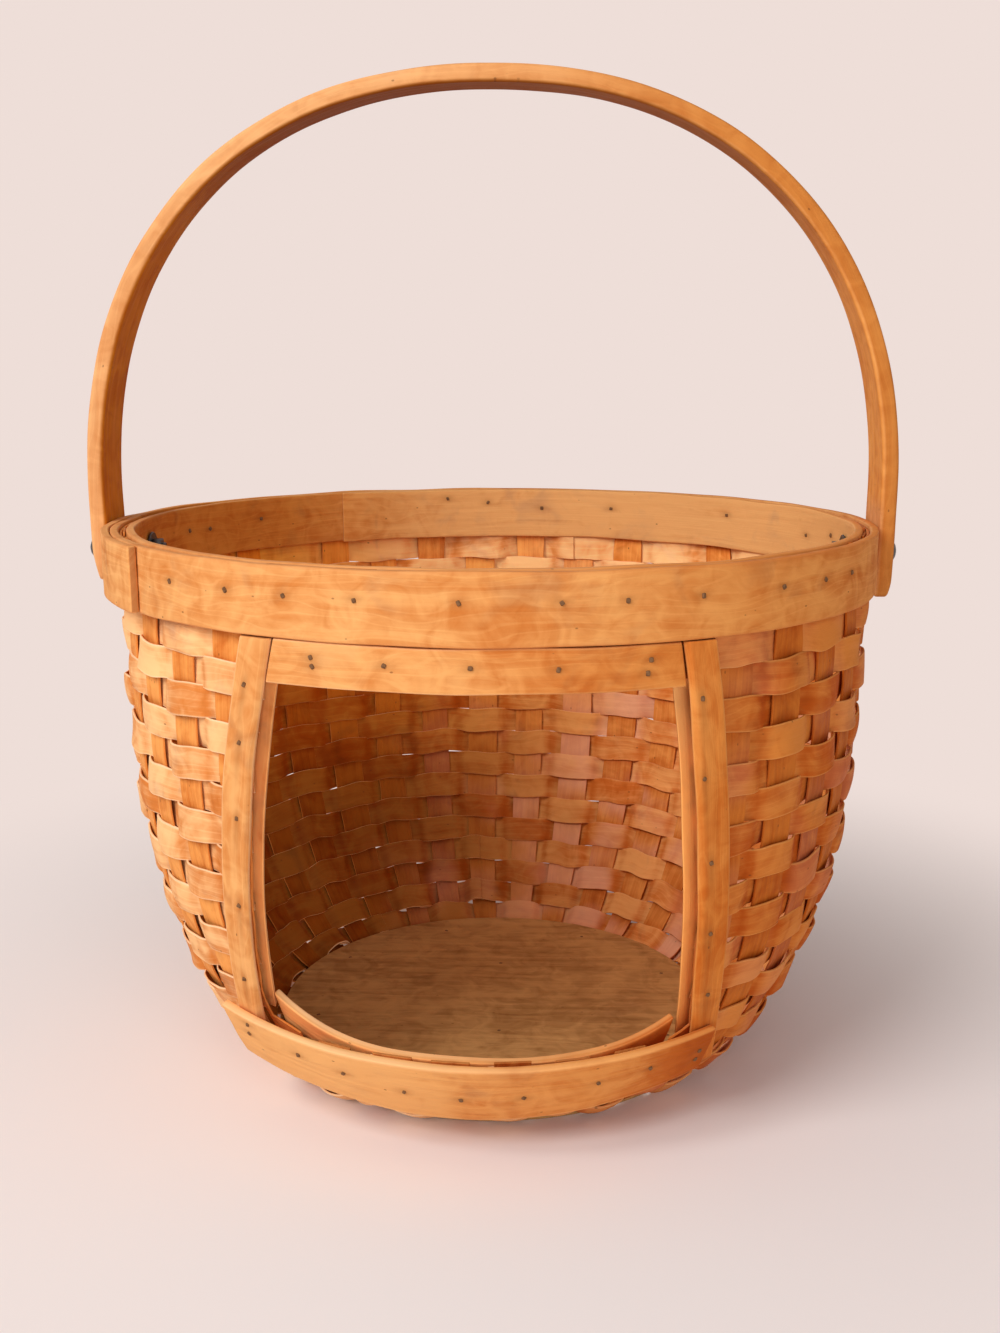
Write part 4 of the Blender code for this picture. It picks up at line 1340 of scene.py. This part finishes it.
def wood(
    name, kind, ring_gap, right, insides, edge, worn,
    roughness=0.58, rare=0.94, grained=True, gloom=0.0,
):
    """Wood with growth rings, fibre and blotches that follow the grain of each strip.

    Painted shade multiplies the basket's right side by a colour, and painted light and shade multiply
    the inner side of each strip by one colour at the left and another at the right. Wood that isn't
    grained by its board is patterned by its place.
    """
    colours = bpy.context.scene.basket_colours
    light, deep = getattr(colours, f"{kind}_light"), getattr(colours, f"{kind}_deep")
    finish = Finish(bpy.data.materials.new(name))
    place = finish.node("TexCoord", output=3)
    run = finish.node("UVMap", {"uv_map": "grain"}) if grained else place
    tone, inside = finish.mark("tone"), finish.mark("inside")

    # Pattern
    bend = finish.cloud(run, (9.0, 42.0, 1.0))
    streak = finish.cloud(run, (6.0, 140.0, 1.0), 4.0)
    fibre = finish.cloud(run, (22.0, 1100.0, 1.0))
    blotch = finish.cloud(place, even(19.0), 3.0)
    mottle = finish.cloud(place, even(62.0), 4.0, swirl=1.4)
    phase = (finish.part(run, 1) * (1.0 / ring_gap) + bend * 1.5) * (2 * math.pi)
    rings = finish.node("Math", {"operation": "SINE"}, {0: phase})
    line = 1.0 - finish.between(rings * rings, 0.0, 0.16)
    depth = 0.42 + blotch * 0.28 + mottle * 0.33 + streak * 0.28 + rings * 0.04 - line * 0.12
    # The tone mark holds each strip's own tone together with painted light and shade, which reach both
    # the depth and the smudges
    colour = finish.mix(finish.between(depth + tone * 0.32, 0.0, 1.0), light, deep)
    smudge_and_shade = finish.between(blotch * 0.7 + mottle * 0.6 + streak * 0.3 + tone * 0.4, 0.55, 1.4)
    smudged_and_shaded = [part * share for part, share in zip(deep, SMUDGE_AND_SHADE)]
    colour = finish.mix(smudge_and_shade * 0.55, colour, smudged_and_shaded)
    dull = finish.cloud(place, even(36.0), 3.0, swirl=0.8) + streak * 0.3
    colour = finish.mix(finish.between(dull, 0.10, 1.0) * worn, colour, DULL, "MULTIPLY")

    # Places
    height = finish.part(place, 2)
    sideways = finish.part(place, 0) + blotch * 0.03
    # Where the painted inside light and shade and the painted low shade are mostly left off
    shade_free = finish.between(height, *SHADE_FREE_HEIGHTS) * finish.between(sideways, *SHADE_FREE_SIDEWAYS)
    shade_free = shade_free * (1.0 - finish.between(height, *ABOVE_RIM))
    inner = finish.between(inside, 0.75, 1.0)
    hidden = inner * (1.0 - shade_free * 0.95)
    turned = finish.between(sideways, *OUTSIDE_TURNS)

    # Edges: wear with painted edge light and shade. Painted shade under the handle's top, on the right
    # side and low inside; painted light and shade inside
    # Painted edges: each wood's edge colour lays wear and a painted highlight, light or shade on the
    # narrow faces of its strips
    side = finish.between(finish.mark("edge") + streak * 0.02, 0.88, 1.0) * worn
    colour = finish.mix(side * (1.0 - finish.between(inside, 0.4, 0.8) * 0.8), colour, edge)
    # Painted shade: the underside of the handle's top darkened
    colour = finish.mix(inner * finish.between(height, *UNDERSIDE_SHADE_HEIGHTS) * 0.85, colour, UNDERSIDE_SHADE)
    # Painted shade: the outside of the basket's right side, away from the key lamp, multiplied deeper
    right_side_shade = finish.mix(turned * (1.0 - inner), WHITE, right)
    # Painted light and shade: the inner side of each strip darker at the left and lighter at the right
    inside_light_and_shade = finish.mix(finish.between(sideways, *INSIDE_TURNS), *insides)
    colour = finish.mix(1.0, colour, finish.mix(hidden, right_side_shade, inside_light_and_shade), "MULTIPLY")
    # Painted shade: the inner side darker low down towards the left
    low = inner * (1.0 - finish.between(height, *LOW_SHADE_HEIGHTS)) * (1.0 - turned) * gloom
    colour = finish.mix(low * (1.0 - shade_free), colour, LOW_SHADE, "MULTIPLY")
    # Painted light: the inner side between the top rows and the rim brightened
    painted_top_light = inner * finish.between(height, *TOP_LIGHT_HEIGHTS)
    painted_top_light = painted_top_light * (1.0 - finish.between(height, *TOP_LIGHT_ENDS))
    colour = finish.mix(painted_top_light, colour, TOP_LIGHT, "MULTIPLY")

    # Patches, ends, stains and dots
    blush = finish.between(finish.mark("blush") + blotch * 0.6, 0.20, 1.00)
    colour = finish.mix(blush * turned * (0.13 + hidden * 0.72), colour, colours.blush)
    colour = finish.mix(finish.mark("end") * 0.6, colour, END)
    colour = finish.mix(finish.mark("stain") * 0.5, colour, STAIN)
    dots = finish.specks(run, (170.0, 300.0, 1.0), 0.17, rare)
    colour = finish.mix(dots * 0.6, colour, DOT)
    relief = fibre * 0.25 + streak * 0.5 + rings * 0.3 + mottle * 0.6
    bump = finish.node("Bump", None, {"Strength": 0.4, "Distance": 0.0005, "Height": relief})
    rough = finish.between(roughness + streak * 0.05 + blotch * 0.04, 0.0, 1.0)
    return finish.surface(Base_Color=colour, Roughness=rough, Normal=bump, Specular_IOR_Level=0.05)


def band_wood(name):
    insides = (0.80, 0.58, 0.28), (1.08, 1.20, 1.40)
    return wood(name, "band", 0.0085, (0.90, 0.73, 0.52), insides, (0.70, 0.27, 0.09), 0.5)


def frame_wood(name):
    # Painted light: the pale edge colour lights the posts' shaded side faces
    insides = (1.30, 1.20, 1.10), (1.15, 1.0, 0.75)
    return wood(name, "band", 0.0075, (0.84, 0.57, 0.27), insides, (1.0, 0.62, 0.32), 0.5)


def weaver_wood(name):
    # The pale edge colour is wear and a painted highlight along the weavers' edges
    insides = (0.78, 0.52, 0.15), (1.06, 0.86, 0.62)
    return wood(
        name, "weaver", 0.0060, (0.71, 0.41, 0.17), insides, (1.0, 0.70, 0.42), 0.75,
        rare=0.9, gloom=1.0,
    )


def stake_wood(name):
    # Painted shade: the dark edge colour shades the slits beside the stakes' edges
    insides = (0.78, 0.57, 0.20), (1.06, 1.04, 1.0)
    return wood(
        name, "stake", 0.0055, (0.66, 0.44, 0.22), insides, (0.72, 0.26, 0.06), 0.6,
        rare=0.9, gloom=1.0,
    )


def hoop_wood(name):
    insides = (0.78, 0.50, 0.07), (1.10, 0.94, 0.56)
    return wood(name, "hoop", 0.0080, (0.74, 0.53, 0.26), insides, (0.85, 0.48, 0.22), 0.2)


def floor_wood(name):
    return wood(
        name, "floor", 0.0120, WHITE, (WHITE, WHITE), WHITE, 0.0, roughness=0.6, grained=False
    )


def bolt_steel(name):
    """Dark steel with a little rust."""
    finish = Finish(bpy.data.materials.new(name))
    place = finish.node("TexCoord", output=3)
    rust = finish.between(finish.cloud(place, even(240.0), 4.0), 0.0, 1.0)
    colour = finish.mix(rust * 0.7, bpy.context.scene.basket_colours.steel, BOLT_RUST)
    return finish.surface(Base_Color=colour, Roughness=0.38 + rust * 0.3, Metallic=0.9 - rust * 0.6)


def nail_steel(name):
    """Old nail heads, browned and dull."""
    finish = Finish(bpy.data.materials.new(name))
    place = finish.node("TexCoord", output=3)
    rust = finish.between(finish.cloud(place, even(500.0), 3.0), -0.4, 0.8)
    colour = finish.mix(rust * 0.6, bpy.context.scene.basket_colours.nail, NAIL_RUST)
    return finish.surface(Base_Color=colour, Roughness=0.6 + rust * 0.2, Specular_IOR_Level=0.12)


LOOKS = {
    "band_wood": ("rim_wood", band_wood),
    "frame_wood": ("rim_wood", frame_wood),
    "weaver_wood": ("weaver_wood", weaver_wood),
    "stake_wood": ("stake_wood", stake_wood),
    "hoop_wood": ("handle_wood", hoop_wood),
    "floor_wood": ("floor_wood", floor_wood),
    "bolt_steel": ("bolt_steel", bolt_steel),
    "nail_steel": ("nail_steel", nail_steel),
}


def make_camera():
    camera = new_object("camera", bpy.data.cameras.new("camera"))
    camera.data.lens = CAMERA_LENS
    camera.location = CAMERA_PLACE
    camera.rotation_euler = CAMERA_TURN
    bpy.context.scene.camera = camera


def make_lamp(name, power, place, target, size):
    lamp = bpy.data.lights.new(name, "AREA")
    lamp.shape = "DISK"
    lamp.size = size
    lamp.energy = power
    holder = new_object(name, lamp)
    holder.location = place
    holder.rotation_euler = (Vector(target) - Vector(place)).to_track_quat("-Z", "Y").to_euler()


def make_world(settings):
    """Even light from all round. The camera sees the backdrop's colour there."""
    world = bpy.data.worlds.new("studio")
    bpy.context.scene.world = world
    finish = Finish(world)
    fill = [part * settings.fill_strength for part in FILL_COLOUR]
    colour = finish.mix(finish.seen(), fill, settings.backdrop)
    finish.node("OutputWorld", None, {0: finish.node("Background", None, {"Color": colour})})


def make_backdrop(settings):
    """A floor that curves up behind the basket."""
    bm = bmesh.new()
    spread = Matrix.Diagonal((BACKDROP_SIZE, BACKDROP_SIZE, 1.0, 1.0))
    bmesh.ops.create_grid(bm, x_segments=2, y_segments=BACKDROP_STEPS, size=0.5, matrix=spread)
    quarter = BACKDROP_RADIUS * math.pi / 2
    for vert in bm.verts:
        past = vert.co.y + BACKDROP_SIZE / 2 - BACKDROP_FLOOR
        turn = min(max(past, 0.0), quarter) / BACKDROP_RADIUS
        vert.co.y = BACKDROP_BEND + min(past, 0.0) + BACKDROP_RADIUS * math.sin(turn)
        up = BACKDROP_RADIUS * (1.0 - math.cos(turn)) + max(past - quarter, 0.0)
        vert.co.z = min(up, BACKDROP_TOP)
    mesh = bpy.data.meshes.new("backdrop")
    bm.to_mesh(mesh)
    bm.free()
    mesh.shade_smooth()
    backdrop = new_object("backdrop", mesh)
    finish = Finish(bpy.data.materials.new("backdrop"))
    place = finish.node("TexCoord", output=3)
    away = finish.node("VectorMath", {"operation": "LENGTH"}, {0: place}, output=1)
    share = finish.between(away, *BACKDROP_FADE) * finish.seen()
    floor = finish.shader(Base_Color=opaque(settings.floor), Roughness=0.9, Specular_IOR_Level=0.1)
    glow = finish.node("Emission", None, {"Color": opaque(settings.backdrop)})
    mixed = finish.node("MixShader", None, {0: share, 1: floor, 2: glow})
    finish.node("OutputMaterial", None, {0: mixed})
    mesh.materials.append(finish.owner)


class BASKET_OT_stage(bpy.types.Operator):
    """Set up the camera, lamps, floor and backdrop"""

    bl_idname = "basket.stage"
    bl_label = "Stage"

    def execute(self, context):
        settings = context.scene.basket_stage
        context.scene.view_settings.view_transform = "Standard"
        make_camera()
        make_world(settings)
        make_lamp("key_lamp", settings.key_power, **KEY_LAMP)
        make_lamp("front_lamp", settings.front_power, **FRONT_LAMP)
        make_backdrop(settings)
        return {"FINISHED"}


class BASKET_OT_floor(bpy.types.Operator):
    """Make the two round floor boards and their nails"""

    bl_idname = "basket.floor"
    bl_label = "Floor"

    def execute(self, context):
        make_floor()
        return {"FINISHED"}


class BASKET_OT_stakes(bpy.types.Operator):
    """Make the upright stakes, and the short ends of those that the window cuts"""

    bl_idname = "basket.stakes"
    bl_label = "Stakes"

    def execute(self, context):
        settings = context.scene.basket_weave
        rng = random.Random(settings.seed)
        cut = WALL_START + (ROWS_BELOW_WINDOW + CUT_STAKE_ROWS) * ROW_HEIGHT
        highest = WALL.length - STAKE_SHORTFALL
        indexes = list(range(STAKE_COUNT))
        tops = [highest - rng.uniform(0.0, STAKE_TOP_SPREAD) for _ in indexes]
        ends = [cut if index in WINDOW_STAKES else tops[index] for index in indexes]
        make_stakes("stakes", indexes, 0.0, ends, settings, ["stake_web"])
        ends = [tops[index] for index in WINDOW_STAKES]
        nodes = [f"window_stake_end_{number}" for number in range(1, len(ends) + 1)]
        start = WALL.length_at(HEAD_BOTTOM + STAKE_END_RISE)
        make_stakes("window_stake_ends", WINDOW_STAKES, start, ends, settings, nodes)
        return {"FINISHED"}


class BASKET_OT_weave(bpy.types.Operator):
    """Weave the rows round the stakes, over one and under the next"""

    bl_idname = "basket.weave"
    bl_label = "Weave"

    def execute(self, context):
        for row in range(ROW_COUNT):
            make_woven_row(row, context.scene.basket_weave)
        return {"FINISHED"}


class BASKET_OT_window(bpy.types.Operator):
    """Frame the window with posts, heads and sills inside and outside the weave"""

    bl_idname = "basket.window"
    bl_label = "Window"

    def execute(self, context):
        make_window()
        return {"FINISHED"}


class BASKET_OT_rim(bpy.types.Operator):
    """Bend the two rim bands and the filling between them, and nail them"""

    bl_idname = "basket.rim"
    bl_label = "Rim"

    def execute(self, context):
        make_rim()
        return {"FINISHED"}


class BASKET_OT_handle(bpy.types.Operator):
    """Bend the handle and fit its bolts, washers and nuts"""

    bl_idname = "basket.handle"
    bl_label = "Handle"

    def execute(self, context):
        make_hoop()
        make_pivots()
        return {"FINISHED"}


OPERATORS = (
    BASKET_OT_stage,
    BASKET_OT_floor,
    BASKET_OT_stakes,
    BASKET_OT_weave,
    BASKET_OT_window,
    BASKET_OT_rim,
    BASKET_OT_handle,
)
SETTINGS = {
    "basket_weave": BasketWeave,
    "basket_colours": BasketColours,
    "basket_stage": BasketStage,
}


class BASKET_PT_panel(bpy.types.Panel):
    """The basket's settings and the steps that make it"""

    bl_idname = "BASKET_PT_panel"
    bl_label = "Woven basket"
    bl_space_type = "VIEW_3D"
    bl_region_type = "UI"
    bl_category = "Basket"

    def draw(self, context):
        for name, group in SETTINGS.items():
            box = self.layout.box()
            for key in group.__annotations__:
                box.prop(getattr(context.scene, name), key)
        for operator in OPERATORS:
            self.layout.operator(operator.bl_idname)


def register():
    for name, group in SETTINGS.items():
        bpy.utils.register_class(group)
        setattr(bpy.types.Scene, name, PointerProperty(type=group))
    for kind in (*OPERATORS, BASKET_PT_panel):
        bpy.utils.register_class(kind)


def unregister():
    for kind in reversed((*OPERATORS, BASKET_PT_panel)):
        bpy.utils.unregister_class(kind)
    for name, group in SETTINGS.items():
        delattr(bpy.types.Scene, name)
        bpy.utils.unregister_class(group)


def main():
    register()
    for operator in OPERATORS:
        getattr(bpy.ops.basket, operator.bl_idname.split(".")[1])()


if __name__ == "__main__":
    main()
